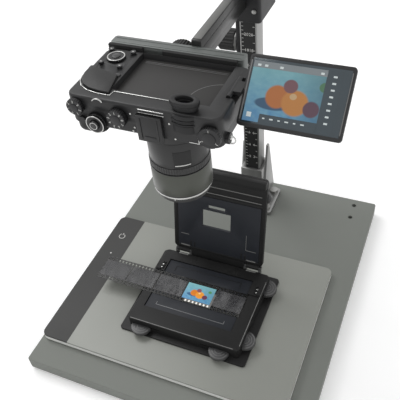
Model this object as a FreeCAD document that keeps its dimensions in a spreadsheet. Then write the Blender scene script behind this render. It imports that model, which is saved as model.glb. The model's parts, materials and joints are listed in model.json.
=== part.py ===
import FreeCAD, Part
import Sketcher
import os
import re

from FreeCAD import Placement, Rotation, Vector

# Film copying rig: a baseboard with a column, a light plate with a film
# holder on it, and a camera that looks straight down at the film gate.
# Millimetres. The origin is under the middle of the baseboard, on the
# surface it stands on. +Y points from the front edge to the column.

SIZES = [
    ("board_width", 330, "baseboard, left to right"),
    ("board_depth", 380, "baseboard, front to back"),
    ("board_thickness", 16, "baseboard"),
    ("board_corner", 3, "radius of the baseboard's corners"),
    ("foot_height", 4, "rubber foot under the board"),
    ("foot_radius", 11, "rubber foot under the board"),
    ("foot_inset", 50, "centre of a foot from the board's edges"),
    ("fixing_radius", 3, "holes for lamp arms in the board"),
    ("fixing_side", 28, "centre of these holes from the board's side"),
    ("fixing_back", 12, "rear hole from the board's back edge"),
    ("fixing_pitch", 24, "distance between the two holes of a side"),
    ("gate_from_front", 137, "lens axis and film gate from the board's front edge"),
    ("film_width", 35, "film strip"),
    ("frame_length", 36, "picture on the film, along the strip"),
    ("frame_width", 24, "picture on the film, across the strip"),
    ("frame_pitch", 38, "one picture to the next"),
    ("frame_count", 5, "pictures on the strip"),
    ("frames_left", 3, "pictures to the left of the gate"),
    ("film_thickness", 0.2, "film strip"),
    ("plate_left", 163, "light plate's left edge from the lens axis"),
    ("plate_width", 301, "light plate"),
    ("plate_front", 106, "light plate's front edge from the lens axis"),
    ("plate_depth", 208, "light plate"),
    ("plate_height", 8, "light plate's housing with its cover"),
    ("plate_corner", 8, "corner radius of the light plate"),
    ("plate_wall", 2, "floor and rim of the light plate's housing"),
    ("cover_thickness", 2, "diffuser and control strip"),
    ("band_width", 36, "control strip on the light plate"),
    ("guide_thickness", 3, "light guide under the diffuser"),
    ("led_width", 5, "LED strip beside the light guide"),
    ("led_height", 2.4, "LED strip beside the light guide"),
    ("pad_height", 1, "foot under the light plate"),
    ("pad_radius", 6, "foot under the light plate"),
    ("pad_inset", 14, "centre of a plate foot from the plate's edges"),
    ("battery_width", 24, "battery in the light plate"),
    ("battery_length", 110, "battery in the light plate"),
    ("battery_height", 3.4, "battery in the light plate"),
    ("socket_width", 8, "power socket"),
    ("socket_height", 3.6, "power socket"),
    ("socket_length", 10, "power socket"),
    ("socket_bore", 1.2, "radius of the power socket's hole"),
    ("socket_floor", 3, "closed end of the power socket"),
    ("holder_shift", 2.5, "middle of the film holder from the lens axis"),
    ("base_width", 157, "film holder's base plate"),
    ("base_depth", 130, "film holder's base plate"),
    ("base_front", 67, "base plate's front edge from the lens axis"),
    ("base_thickness", 2.5, "film holder's base plate"),
    ("base_corner", 4, "corner radius of the base plate"),
    ("well_width", 60, "light opening in the base plate and tray"),
    ("well_depth", 44, "light opening in the base plate and tray"),
    ("stage_width", 139, "film stage"),
    ("stage_depth", 113, "film stage"),
    ("stage_front", 60, "stage's front face from the lens axis"),
    ("stage_height", 15.7, "film stage"),
    ("stage_corner", 5, "corner radius of the film stage"),
    ("stage_wall", 4, "film stage"),
    ("stage_roof", 6.6, "top of the film stage"),
    ("insert_width", 110, "film insert in the stage"),
    ("insert_depth", 76, "film insert in the stage"),
    ("insert_flange", 2.7, "film insert, rim on the ledge"),
    ("insert_ledge", 5, "ledge under the rim of the insert"),
    ("insert_drop", 1.3, "insert's face under the stage's top: depth of the film channel"),
    ("window_width", 40, "window in the film insert"),
    ("window_depth", 31, "window in the film insert"),
    ("tray_height", 6.2, "tray that carries the masks"),
    ("mask_thickness", 1, "sliding mask"),
    ("mask_gap_x", 20, "left and right mask edges from the lens axis"),
    ("mask_gap_y", 15, "front and back mask edges from the lens axis"),
    ("mask_reach_x", 38, "left and right mask blades, along X"),
    ("mask_reach_y", 33, "front and back mask blades, along Y"),
    ("mask_travel_x", 14, "travel of the left and right masks"),
    ("mask_travel_y", 10, "travel of the front and back masks"),
    ("neck_width", 18, "neck of a mask, where it passes the wall"),
    ("grip_radius", 12, "half round grip of a mask"),
    ("grip_height", 4, "half round grip of a mask"),
    ("slide_gap", 0.3, "clearance beside and over what slides"),
    ("seat_gap", 0.3, "clearance round an insert in its pocket"),
    ("guide_length", 12, "film guide on the stage"),
    ("guide_width", 5, "film guide on the stage"),
    ("guide_height", 1.2, "film guide on the stage"),
    ("guide_inset", 1.5, "film guide from the stage's side"),
    ("guide_gap", 1, "film guide from the film channel"),
    ("lid_width", 117, "holder's lid"),
    ("lid_length", 121, "holder's lid"),
    ("lid_thickness", 5.5, "holder's lid"),
    ("lid_lean", 12, "degrees the open lid leans back past upright"),
    ("lid_corner", 4, "corner radius of the lid"),
    ("lid_start", 5, "lid's panel from the hinge axis"),
    ("lid_panel_width", 106, "inner panel of the lid"),
    ("lid_panel_length", 79, "inner panel of the lid"),
    ("lid_panel_start", 9, "inner panel from the hinge axis"),
    ("lid_panel_thickness", 3.5, "inner panel of the lid"),
    ("slot_width", 22, "small slot in the lid's inner panel"),
    ("slot_depth", 5.5, "small slot in the lid's inner panel"),
    ("slot_start", 71.5, "small slot from the hinge axis"),
    ("bar_depth", 9, "front bar of the lid"),
    ("bar_drop", 7.5, "front bar under the lid"),
    ("hinge_axis_back", 57, "lid's hinge axis behind the lens axis"),
    ("pin_radius", 1.5, "hinge pin"),
    ("pin_fit", 0.06, "running fit of a pin or shaft, on the radius"),
    ("knuckle_radius", 3.2, "hinge knuckle"),
    ("knuckle_width", 15, "hinge knuckle on the lid"),
    ("knuckle_out", 46, "middle of a hinge from the holder's middle"),
    ("ear_width", 3, "ear of a hinge bracket"),
    ("bracket_thickness", 1.5, "foot of a hinge bracket, against the stage"),
    ("bracket_drop", 2, "top of a bracket's foot under the stage's top"),
    ("web_bite", 3, "web of a hinge knuckle inside the lid's panel"),
    ("latch_radius", 7.5, "turning catch on the lid"),
    ("latch_height", 4.5, "turning catch on the lid"),
    ("latch_start", 100, "turning catch from the hinge axis"),
    ("latch_inset", 4, "turning catch's axis from the lid's side"),
    ("column_width", 21, "column"),
    ("column_depth", 21, "column"),
    ("column_height", 475, "column, over the board"),
    ("column_wall", 2.5, "column"),
    ("column_front", 196.5, "column's front face behind the lens axis"),
    ("scale_width", 17, "scale strip on the column"),
    ("scale_thickness", 0.8, "scale strip on the column"),
    ("scale_top_gap", 8, "end of the scale strip under the column's top"),
    ("cap_height", 5, "cap on the column"),
    ("cap_lip", 1.2, "cap's overhang"),
    ("cap_plug", 10, "cap's plug inside the column"),
    ("flange_width", 64, "foot of the column"),
    ("flange_depth", 52, "foot of the column"),
    ("flange_thickness", 6, "foot of the column"),
    ("flange_front", 175, "front of the foot behind the lens axis"),
    ("socket_wall", 4, "socket round the column's end"),
    ("socket_top", 64, "top of the socket over the board"),
    ("gusset_top", 94, "top of the side plates over the board"),
    ("gusset_base", 44, "side plates, front to back at the board"),
    ("gusset_crest", 5, "side plates, front to back at the top"),
    ("gusset_thickness", 3, "side plates"),
    ("bolt_radius", 3, "bolt of the foot"),
    ("bolt_head_radius", 5.5, "bolt of the foot"),
    ("bolt_head_height", 4, "bolt of the foot"),
    ("bolt_spread_x", 48, "bolts of the foot, left to right"),
    ("bolt_spread_y", 36, "bolts of the foot, front to back"),
    ("carriage_width", 42, "carriage on the column"),
    ("carriage_depth", 56, "carriage on the column"),
    ("carriage_base", 288, "carriage's underside over the board"),
    ("carriage_height", 56, "carriage on the column"),
    ("carriage_edge", 1.5, "rounded edges of the carriage"),
    ("glide_thickness", 1.2, "glide pad between carriage and column"),
    ("glide_height", 14, "glide pad between carriage and column"),
    ("glide_width", 12, "glide pad between carriage and column"),
    ("glide_inset", 4, "glide pad from the carriage's upper and lower ends"),
    ("knob_clearance", 26, "clamp knob from the carriage's underside"),
    ("knob_radius", 13, "clamp knob"),
    ("knob_length", 20, "clamp knob"),
    ("knob_nose_radius", 11, "outer end of the clamp knob"),
    ("knob_nose_length", 4, "outer end of the clamp knob"),
    ("washer_radius", 12, "faceted boss that carries the clamp knob"),
    ("washer_thickness", 3, "faceted boss that carries the clamp knob"),
    ("knob_shaft_radius", 3, "clamp knob's screw"),
    ("tongue_depth", 22, "tongue of the carriage that carries the knob"),
    ("tongue_thickness", 4, "tongue of the carriage that carries the knob"),
    ("arm_width", 10, "arm to the camera"),
    ("arm_height", 27, "arm to the camera"),
    ("arm_base", 305, "arm's underside over the board"),
    ("rail_left", 84, "camera rail's left end from the lens axis"),
    ("rail_length", 135, "camera rail"),
    ("rail_back", 58, "camera rail's rear face behind the lens axis"),
    ("rail_depth", 13, "camera rail"),
    ("rail_height", 34, "camera rail"),
    ("rail_corner", 3, "ends of the camera rail"),
    ("rail_top", 326, "camera rail's top over the board"),
    ("rail_pad_left", 27, "rail pad's left end from the lens axis"),
    ("rail_pad_length", 73, "rail pad"),
    ("rail_pad_height", 30, "rail pad"),
    ("rail_block_length", 36, "second pad, at the rail's left end"),
    ("tripod_clearance", 1, "tripod screw's knob from the arm's side"),
    ("tripod_height", 304, "tripod screw over the board"),
    ("tripod_knob_radius", 16, "tripod screw's knob"),
    ("tripod_knob_length", 20, "tripod screw's knob"),
    ("tripod_screw_radius", 3.1, "tripod screw"),
    ("tripod_screw_depth", 5, "tripod screw inside the camera"),
    ("cam_back", 323, "camera's rear face over the board"),
    ("cam_depth", 30, "camera body, without its grip"),
    ("cam_grip_end", 83, "camera's grip end from the lens axis"),
    ("cam_hinge_end", 62, "camera's other end from the lens axis"),
    ("cam_top", 40, "camera's top plate from the lens axis"),
    ("cam_bottom", 41, "camera's base from the lens axis"),
    ("cam_corner", 9, "corner radius of the camera"),
    ("cam_edge", 2.5, "rounded edge of the camera"),
    ("cam_wall", 2.5, "shell of the camera"),
    ("cam_split", 19, "rear shell's share of the camera's depth"),
    ("cam_back_wall", 8.5, "rear wall of the camera, with the screen's recess"),
    ("grip_width", 30, "grip of the camera"),
    ("grip_depth", 12, "grip in front of the camera's body"),
    ("grip_corner", 9, "corner radius of the camera's grip"),
    ("grip_inset", 2, "grip from the camera's top plate and base"),
    ("grip_end_inset", 1, "grip from the camera's end"),
    ("recess_width", 92, "recess for the screen"),
    ("recess_height", 62, "recess for the screen"),
    ("recess_depth", 6, "recess for the screen"),
    ("recess_middle_y", 8, "middle of the recess behind the lens axis"),
    ("screen_width", 88, "screen"),
    ("screen_height", 60.4, "screen"),
    ("screen_thickness", 4.5, "screen, without its glass"),
    ("screen_corner", 3, "corner radius of the screen"),
    ("screen_edge", 1, "rounded edge of the screen's rear"),
    ("screen_tilt", 44, "degrees the screen faces forward"),
    ("screen_gap", 3, "screen's inner edge from the hinge block"),
    ("screen_glass_margin", 3, "bezel round the screen's glass"),
    ("glass_fit", 0.05, "clearance round the screen's glass"),
    ("screen_glass_thickness", 0.8, "screen's glass"),
    ("hinge_block_width", 8, "hinge block of the screen, along X"),
    ("hinge_block_length", 16, "hinge block of the screen, along Y"),
    ("hinge_block_height", 6, "hinge block of the screen"),
    ("hinge_barrel_radius", 2, "barrel of the screen's swing hinge"),
    ("hinge_barrel_length", 30, "barrel of the screen's swing hinge"),
    ("leaf_thickness", 3.6, "leaf of the screen's hinge"),
    ("tilt_pivot_radius", 1.2, "pivot the screen tilts on"),
    ("tilt_pivot_length", 2.4, "pivot's length inside the screen"),
    ("mount_radius", 25.5, "lens mount's hole in the camera"),
    ("lens_radius", 29.5, "lens, widest"),
    ("lens_front", 205, "lens's front rim over the board"),
    ("lens_front_radius", 27, "lens's front rim"),
    ("lens_front_length", 8, "lens's front rim"),
    ("lens_collar", 15, "lens's fixed collar at the camera"),
    ("lens_sleeve", 28, "lens's fixed sleeve behind the front rim"),
    ("lens_tube_radius", 26.5, "lens's inner tube"),
    ("lens_bore", 23, "lens's clear inside"),
    ("filter_radius", 24.5, "thread for filters at the front rim"),
    ("filter_depth", 4, "thread for filters at the front rim"),
    ("glass_thickness", 5, "front glass of the lens"),
    ("sensor_plate", 62, "sensor unit, square"),
    ("sensor_depth", 6, "sensor unit"),
    ("shoe_width", 24, "cover on the accessory shoe"),
    ("shoe_length", 26, "cover on the accessory shoe"),
    ("shoe_height", 3.5, "cover on the accessory shoe"),
    ("shoe_x", 2, "shoe cover from the lens axis, towards the grip"),
    ("shoe_over", 303, "middle of the shoe cover over the board"),
    ("dial_gap", 0.4, "gap under a dial or a button's head"),
    ("spindle_radius", 2, "spindle of a dial"),
    ("mode_x", 32, "mode dial from the lens axis, towards the grip"),
    ("mode_over", 309, "mode dial over the board"),
    ("mode_radius", 9, "mode dial"),
    ("mode_height", 6, "mode dial"),
    ("release_x", 55, "release dial from the lens axis, towards the grip"),
    ("release_over", 299, "release dial over the board"),
    ("release_radius", 9.5, "release dial"),
    ("release_height", 5, "release dial"),
    ("button_radius", 4.6, "shutter button"),
    ("button_height", 2.2, "shutter button over its dial"),
    ("button_clearance", 1.2, "room under the shutter button, inside its dial"),
    ("exposure_x", 73, "exposure dial from the lens axis, towards the grip"),
    ("exposure_over", 313, "exposure dial over the board"),
    ("exposure_radius", 8, "exposure dial"),
    ("exposure_height", 5, "exposure dial"),
    ("drive_x", 53, "drive dial from the lens axis, away from the grip"),
    ("drive_over", 307, "drive dial over the board"),
    ("drive_radius", 10, "drive dial"),
    ("drive_height", 5, "drive dial"),
    ("pad_dial_x", 66, "rear dial from the lens axis, towards the grip"),
    ("pad_dial_y", 24, "rear dial behind the lens axis"),
    ("pad_dial_radius", 9, "rear dial"),
    ("pad_dial_height", 2, "rear dial"),
    ("key_radius", 2.7, "button on the camera's rear"),
    ("key_height", 1.4, "button on the camera's rear"),
    ("key_stem", 1.6, "stem of a button"),
    ("play_x", 54, "playback button from the lens axis, towards the grip"),
    ("play_y", 35, "playback button behind the lens axis"),
    ("menu_x", 75.5, "menu button from the lens axis, towards the grip"),
    ("menu_y", 12, "menu button behind the lens axis"),
    ("info_x", 55, "display button from the lens axis, towards the grip"),
    ("info_y", 10, "display button behind the lens axis"),
    ("zoom_x", 77, "zoom button from the lens axis, towards the grip"),
    ("zoom_y", 35, "zoom button behind the lens axis"),
    ("eye_x", 28, "eyepiece from the lens axis, away from the grip"),
    ("eye_y", 31.3, "middle of the eyepiece in front of the lens axis"),
    ("eye_width", 27, "eyepiece"),
    ("eye_depth", 16, "eyepiece"),
    ("eye_height", 9, "eyepiece over the camera's rear face"),
    ("eye_bore", 6, "radius of the eyepiece's opening"),
    ("eye_edge", 1.5, "rounded upper edge of the eyepiece"),
    ("lug_length", 4, "strap lug of the camera"),
    ("lug_inset", 12, "strap lug from the camera's top plate"),
    ("lug_drop", 6, "strap lug under the camera's split"),
    ("lug_radius", 5, "strap lug of the camera"),
]

# Places and sizes that follow from the ones above.
DERIVED = {
    "gate_y": "gate_from_front - board_depth / 2",
    "board_top": "foot_height + board_thickness",
    "plate_base": "board_top + pad_height",
    "plate_top": "plate_base + plate_height",
    "plate_x": "plate_width / 2 - plate_left",
    "plate_y": "gate_y + plate_depth / 2 - plate_front",
    "cover_base": "plate_top - cover_thickness",
    "plate_floor": "plate_base + plate_wall",
    "band_x": "band_width / 2 - plate_left",
    "diffuser_width": "plate_width - band_width",
    "base_top": "plate_top + base_thickness",
    "base_y": "gate_y + base_depth / 2 - base_front",
    "stage_y": "gate_y + stage_depth / 2 - stage_front",
    "stage_top": "base_top + stage_height",
    "stage_right": "holder_shift + stage_width / 2",
    "stage_left": "holder_shift - stage_width / 2",
    "roof_base": "stage_top - stage_roof",
    "insert_top": "stage_top - insert_drop",
    "ledge_top": "insert_top - insert_flange",
    "film_base": "insert_top + slide_gap",
    "channel_width": "film_width + 2 * slide_gap",
    "film_length": "frame_count * frame_pitch",
    "film_x": "film_length / 2 - (frames_left + 0.5) * frame_pitch",
    "tray_top": "base_top + tray_height",
    "low_mask": "tray_top + slide_gap",
    "high_mask": "low_mask + mask_thickness + slide_gap",
    "side_neck_x": "mask_gap_x + mask_reach_x - neck_width / 2",
    "deep_neck_y": "mask_gap_y + mask_reach_y - neck_width / 2",
    "hinge_y": "gate_y + hinge_axis_back",
    "hinge_z": "stage_top + slide_gap + lid_thickness / 2",
    "lid_end": "lid_start + lid_length",
    "column_y": "gate_y + column_front + column_depth / 2",
    "column_base": "board_top + flange_thickness",
    "flange_y": "gate_y + flange_front + flange_depth / 2",
    "bore_width": "column_width + 2 * seat_gap",
    "bore_depth": "column_depth + 2 * seat_gap",
    "carriage_bottom": "board_top + carriage_base",
    "guide_bore_width": "column_width + 2 * (glide_thickness + slide_gap)",
    "guide_bore_depth": "column_depth + 2 * (glide_thickness + scale_thickness + slide_gap)",
    "knob_z": "carriage_bottom - knob_radius - knob_clearance",
    "tongue_x": "-column_width / 2 - slide_gap - tongue_thickness",
    "knob_x": "tongue_x - washer_thickness - slide_gap",
    "arm_front": "gate_y + rail_back",
    "tripod_x": "arm_width / 2 + tripod_clearance + tripod_knob_radius",
    "carriage_front": "column_y - carriage_depth / 2",
    "arm_length": "carriage_front - arm_front",
    "rail_y": "gate_y + rail_back - rail_depth / 2",
    "rail_z": "board_top + rail_top - rail_height",
    "rail_front": "gate_y + rail_back - rail_depth",
    "cam_base_y": "gate_y + cam_bottom",
    "tripod_z": "board_top + tripod_height",
    "cam_top_y": "gate_y - cam_top",
    "cam_width": "cam_grip_end + cam_hinge_end",
    "cam_x": "(cam_hinge_end - cam_grip_end) / 2",
    "cam_height": "cam_top + cam_bottom",
    "cam_y": "gate_y + (cam_bottom - cam_top) / 2",
    "cam_back_z": "board_top + cam_back",
    "cam_split_z": "cam_back_z - cam_split",
    "cam_front_z": "cam_back_z - cam_depth",
    "recess_y": "gate_y + recess_middle_y",
    "tilt_y": "recess_y",
    "tilt_z": "cam_back_z",
    "swing_axis_x": "cam_hinge_end - hinge_block_width + slide_gap + hinge_barrel_radius",
    "screen_start": "cam_hinge_end + screen_gap",
    "lens_front_z": "board_top + lens_front",
    "sleeve_z": "lens_front_z + lens_front_length",
    "ring_z": "sleeve_z + lens_sleeve + dial_gap",
    "collar_z": "cam_front_z - lens_collar",
    "ring_length": "collar_z - dial_gap - ring_z",
    "eye_mid_y": "gate_y - eye_y",
}

VALUES = {alias: value for alias, value, _ in SIZES}
WORD = re.compile(r"[A-Za-z_][A-Za-z_0-9]*")

doc = FreeCAD.newDocument("film_copy_rig")
dims = doc.addObject("Spreadsheet::Sheet", "Dims")
nodes = []


def fill_sheet():
    """Write every size, its name and its note into the sheet."""
    for row, (alias, value, note) in enumerate(SIZES, start=1):
        dims.set(f"A{row}", note)
        dims.set(f"B{row}", str(value))
        dims.setAlias(f"B{row}", alias)
    doc.recompute()


def expand(text):
    """Turn the names in an expression into references to the sheet."""
    def swap(match):
        word = match.group(0)
        if word in DERIVED:
            return "(" + expand(DERIVED[word]) + ")"
        return "Dims." + word if word in VALUES else word
    return WORD.sub(swap, str(text))


def bind(piece, prop, text):
    """Tie one property of a piece to an expression of the sheet."""
    piece.setExpression(prop, expand(text))


def place(piece, x, y, z):
    """Tie the place of a piece to expressions of the sheet."""
    for axis, text in zip("xyz", (x, y, z)):
        bind(piece, f".Placement.Base.{axis}", text)


def block(name, size, centre, base):
    """Box of a size, centred at (x, y) and standing on the height base."""
    piece = doc.addObject("Part::Box", name)
    for prop, text in zip(("Length", "Width", "Height"), size):
        bind(piece, prop, text)
    place(piece, f"{centre[0]} - ({size[0]}) / 2", f"{centre[1]} - ({size[1]}) / 2", base)
    return piece


TURNS = {
    "z": Rotation(),
    "x": Rotation(Vector(0, 1, 0), 90),
    "-x": Rotation(Vector(0, 1, 0), -90),
    "y": Rotation(Vector(1, 0, 0), -90),
    "-y": Rotation(Vector(1, 0, 0), 90),
}


def rod(name, radius, length, start, axis="z"):
    """Cylinder from a start point along an axis."""
    piece = doc.addObject("Part::Cylinder", name)
    bind(piece, "Radius", radius)
    bind(piece, "Height", length)
    piece.Placement = Placement(Vector(), TURNS[axis])
    place(piece, *start)
    return piece


def half_disc(name, radius, height, start, facing):
    """Half cylinder on a wall, with its round side facing away from it."""
    piece = doc.addObject("Part::Cylinder", name)
    bind(piece, "Radius", radius)
    bind(piece, "Height", height)
    piece.Angle = 180
    piece.Placement = Placement(Vector(), Rotation(Vector(0, 0, 1), facing))
    place(piece, *start)
    return piece


def fuse(name, pieces):
    """One solid from several that touch or overlap."""
    joined = doc.addObject("Part::MultiFuse", name)
    joined.Shapes = pieces
    return joined


def group(name, pieces):
    """Several separate solids that share a node."""
    held = doc.addObject("Part::Compound", name)
    held.Links = pieces
    return held


def cut(name, base, tools):
    """A piece less its tools."""
    opened = doc.addObject("Part::Cut", name)
    opened.Base = base
    opened.Tool = tools[0] if len(tools) == 1 else fuse(name + "_tools", tools)
    return opened


def node(label, piece):
    """Name a finished sub-part."""
    piece.Label = label
    nodes.append(piece)
    return piece


def outline(body, name, width, depth):
    """Rectangle on the body's XY plane, with its middle at the body's origin."""
    sketch = body.newObject("Sketcher::SketchObject", name)
    plane = [f for f in body.Origin.OriginFeatures if f.Role == "XY_Plane"][0]
    sketch.AttachmentSupport = [(plane, "")]
    sketch.MapMode = "FlatFace"
    corners = [(-1, -1), (1, -1), (1, 1), (-1, 1)]
    for (ax, ay), (bx, by) in zip(corners, corners[1:] + corners[:1]):
        sketch.addGeometry(Part.LineSegment(Vector(ax, ay, 0), Vector(bx, by, 0)), False)
    for line in range(4):
        sketch.addConstraint(Sketcher.Constraint("Coincident", line, 2, (line + 1) % 4, 1))
    for line, kind in enumerate(("Horizontal", "Vertical", "Horizontal", "Vertical")):
        sketch.addConstraint(Sketcher.Constraint(kind, line))
    sketch.addConstraint(Sketcher.Constraint("Symmetric", 0, 1, 1, 2, -1, 1))
    for line, kind, text in ((0, "DistanceX", width), (1, "DistanceY", depth)):
        index = sketch.addConstraint(Sketcher.Constraint(kind, line, 1, line, 2, 2.0))
        sketch.setExpression(f"Constraints[{index}]", expand(text))
    return sketch


def slab(name, size, centre, base, corner, top_edge=None, bottom_edge=None):
    """Plate with rounded corners and, if asked, softened upper or lower edges."""
    body = doc.addObject("PartDesign::Body", name)
    pad = body.newObject("PartDesign::Pad", name + "_pad")
    pad.Profile = outline(body, name + "_outline", size[0], size[1])
    bind(pad, "Length", size[2])
    doc.recompute()
    upright = [f"Edge{i}" for i, edge in enumerate(pad.Shape.Edges, 1)
               if abs(edge.tangentAt(edge.FirstParameter).z) > 0.99]
    last = body.newObject("PartDesign::Fillet", name + "_corners")
    last.Base = (pad, upright)
    bind(last, "Radius", corner)
    doc.recompute()
    for radius, top in ((top_edge, True), (bottom_edge, False)):
        if radius:
            level = last.Shape.BoundBox.ZMax if top else last.Shape.BoundBox.ZMin
            rim = [f"Edge{i}" for i, edge in enumerate(last.Shape.Edges, 1)
                   if all(abs(v.Z - level) < 1e-6 for v in edge.Vertexes)]
            soft = body.newObject("PartDesign::Fillet", name + ("_top" if top else "_under"))
            soft.Base = (last, rim)
            bind(soft, "Radius", radius)
            last = soft
            doc.recompute()
    body.Tip = last
    place(body, centre[0], centre[1], base)
    return body


fill_sheet()


# Baseboard, its feet and the column


def corners_of(middle, width, depth, inset):
    """Four places, each inset from the corners of a rectangle."""
    return [(f"{middle[0]} + ({sx}) * (({width}) / 2 - ({inset}))",
             f"{middle[1]} + ({sy}) * (({depth}) / 2 - ({inset}))")
            for sx in (-1, 1) for sy in (-1, 1)]


def spread_of(middle, width, depth):
    """Four places at the corners of a rectangle."""
    return corners_of(middle, width, depth, "0")


def make_baseboard():
    plain = slab("board_slab", ("board_width", "board_depth", "board_thickness"),
                 ("0", "0"), "foot_height", "board_corner", top_edge="board_corner / 3")
    holes = []
    for side in (-1, 1):
        for number in (0, 1):
            x = f"({side}) * (board_width / 2 - fixing_side)"
            y = f"board_depth / 2 - fixing_back - {number} * fixing_pitch"
            holes.append(rod("fixing_hole", "fixing_radius", "board_thickness + 2",
                             (x, y, "foot_height - 1")))
    for x, y in spread_of(("0", "flange_y"), "bolt_spread_x", "bolt_spread_y"):
        holes.append(rod("bolt_hole", "bolt_radius + seat_gap", "board_thickness + 2",
                         (x, y, "foot_height - 1")))
    node("baseboard", cut("baseboard", plain, holes))


def make_board_feet():
    feet = [rod("board_foot", "foot_radius", "foot_height", (x, y, "0"))
            for x, y in corners_of(("0", "0"), "board_width", "board_depth", "foot_inset")]
    node("board_feet", group("board_feet", feet))


def gusset(name, side):
    """Side plate of the foot: upright, narrowing from the board to its crest."""
    plate = doc.addObject("Part::Wedge", name)
    slope = "(gusset_base - gusset_crest) / 2"
    for prop, text in (("Xmin", "0"), ("Xmax", "gusset_base"), ("Ymin", "0"),
                       ("Ymax", "gusset_top - flange_thickness"), ("Zmin", "0"),
                       ("Zmax", "gusset_thickness"), ("X2min", slope),
                       ("X2max", f"{slope} + gusset_crest"), ("Z2min", "0"),
                       ("Z2max", "gusset_thickness")):
        bind(plate, prop, text)
    plate.Placement = Placement(Vector(), Rotation(Vector(1, 1, 1), 120))
    outer = "(bore_width / 2 + socket_wall)"
    x = outer if side > 0 else f"-{outer} - gusset_thickness"
    place(plate, x, "gate_y + column_front - socket_wall", "column_base")
    return plate


def make_column_foot():
    flange = slab("flange", ("flange_width", "flange_depth", "flange_thickness"),
                  ("0", "flange_y"), "board_top", "base_corner")
    holes = [rod("flange_hole", "bolt_radius + seat_gap", "flange_thickness + 2",
                 (x, y, "board_top - 1"))
             for x, y in spread_of(("0", "flange_y"), "bolt_spread_x", "bolt_spread_y")]
    socket = block("socket", ("bore_width + 2 * socket_wall", "bore_depth + 2 * socket_wall",
                              "socket_top - flange_thickness"), ("0", "column_y"), "column_base")
    bore = block("socket_bore", ("bore_width", "bore_depth", "socket_top"),
                 ("0", "column_y"), "column_base")
    tower = cut("tower", fuse("socket_sides", [socket, gusset("gusset_left", -1),
                                               gusset("gusset_right", 1)]), [bore])
    node("column_foot", fuse("column_foot", [cut("flange_drilled", flange, holes), tower]))


def make_foot_bolts():
    bolts = []
    for x, y in spread_of(("0", "flange_y"), "bolt_spread_x", "bolt_spread_y"):
        shank = rod("bolt_shank", "bolt_radius", "board_thickness + flange_thickness",
                    (x, y, "foot_height"))
        head = rod("bolt_head", "bolt_head_radius", "bolt_head_height", (x, y, "column_base"))
        bolts.append(fuse("foot_bolt", [shank, head]))
    node("foot_bolts", group("foot_bolts", bolts))


def make_column():
    length = "column_height - flange_thickness"
    outer = block("column_outer", ("column_width", "column_depth", length),
                  ("0", "column_y"), "column_base")
    inner = block("column_inner", ("column_width - 2 * column_wall",
                                   "column_depth - 2 * column_wall", "column_height"),
                  ("0", "column_y"), "column_base - 1")
    node("column", cut("column", outer, [inner]))
    strip_length = "column_height - socket_top - scale_top_gap - seat_gap"
    strip = block("column_scale", ("scale_width", "scale_thickness", strip_length),
                  ("0", "column_y - column_depth / 2 - scale_thickness / 2"),
                  "board_top + socket_top + seat_gap")
    node("column_scale", strip)
    top = "board_top + column_height"
    lid = slab("cap_top", ("column_width + 2 * cap_lip", "column_depth + 2 * cap_lip",
                           "cap_height"), ("0", "column_y"), top, "cap_lip", top_edge="cap_lip")
    plug = block("cap_plug_block", ("column_width - 2 * (column_wall + seat_gap)",
                                    "column_depth - 2 * (column_wall + seat_gap)",
                                    "cap_plug"), ("0", "column_y"), f"{top} - cap_plug")
    node("column_cap", fuse("column_cap", [lid, plug]))


# Light plate


def make_light_plate():
    middle = ("plate_x", "plate_y")
    tray = slab("plate_shell", ("plate_width", "plate_depth", "plate_height - cover_thickness"),
                middle, "plate_base", "plate_corner", bottom_edge="plate_wall / 2")
    hollow = block("plate_hollow", ("plate_width - 4 * plate_wall", "plate_depth - 4 * plate_wall",
                                    "plate_height"), middle, "plate_floor")
    mouth = block("socket_mouth", ("socket_width + 2 * seat_gap", "6 * plate_wall",
                                   "socket_height + 2 * seat_gap"),
                  ("band_x", "plate_y + plate_depth / 2"), "plate_floor")
    node("light_housing", cut("light_housing", tray, [hollow, mouth]))

    cover = slab("plate_cover", ("plate_width", "plate_depth", "cover_thickness"), middle,
                 "cover_base", "plate_corner", top_edge="cover_thickness / 4")
    band_cut = block("band_cut", ("band_width + 2 * plate_corner", "2 * plate_depth",
                                  "4 * cover_thickness"),
                     ("band_x - plate_corner", "plate_y"), "cover_base - cover_thickness")
    node("light_diffuser", cut("light_diffuser", cover, [band_cut]))

    band = slab("band_cover", ("plate_width", "plate_depth", "cover_thickness"), middle,
                "cover_base", "plate_corner", top_edge="cover_thickness / 4")
    rest = block("band_rest", ("plate_width", "2 * plate_depth", "4 * cover_thickness"),
                 ("plate_x + band_width - slide_gap / 2", "plate_y"),
                 "cover_base - cover_thickness")
    node("control_strip", cut("control_strip", band, [rest]))

    guide_width = "diffuser_width - 6 * plate_wall - led_width"
    node("light_guide", block("light_guide", (guide_width, "plate_depth - 6 * plate_wall",
                                              "guide_thickness"),
                              ("plate_x + band_width / 2 + led_width / 2", "plate_y"),
                              "cover_base - guide_thickness"))
    node("led_strip", block("led_strip", ("led_width", "plate_depth - 6 * plate_wall",
                                          "led_height"),
                            (f"plate_x + band_width / 2 - ({guide_width}) / 2 - slide_gap",
                             "plate_y"), "plate_floor"))
    node("battery_pack", block("battery_pack", ("battery_width", "battery_length",
                                                "battery_height"),
                               ("band_x + plate_wall", "plate_y"), "plate_floor"))
    pads = [rod("plate_pad", "pad_radius", "pad_height", (x, y, "board_top"))
            for x, y in corners_of(middle, "plate_width", "plate_depth", "pad_inset")]
    node("light_feet", group("light_feet", pads))

    socket_y = "plate_y + plate_depth / 2 - socket_length / 2"
    body = block("socket_body", ("socket_width", "socket_length", "socket_height"),
                 ("band_x", socket_y), "plate_floor")
    bore = rod("socket_hole", "socket_bore", "socket_length + 1 - socket_floor",
               ("band_x", "plate_y + plate_depth / 2 + 1", "plate_floor + socket_height / 2"),
               "-y")
    node("power_socket", cut("power_socket", body, [bore]))


# Film holder


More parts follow.
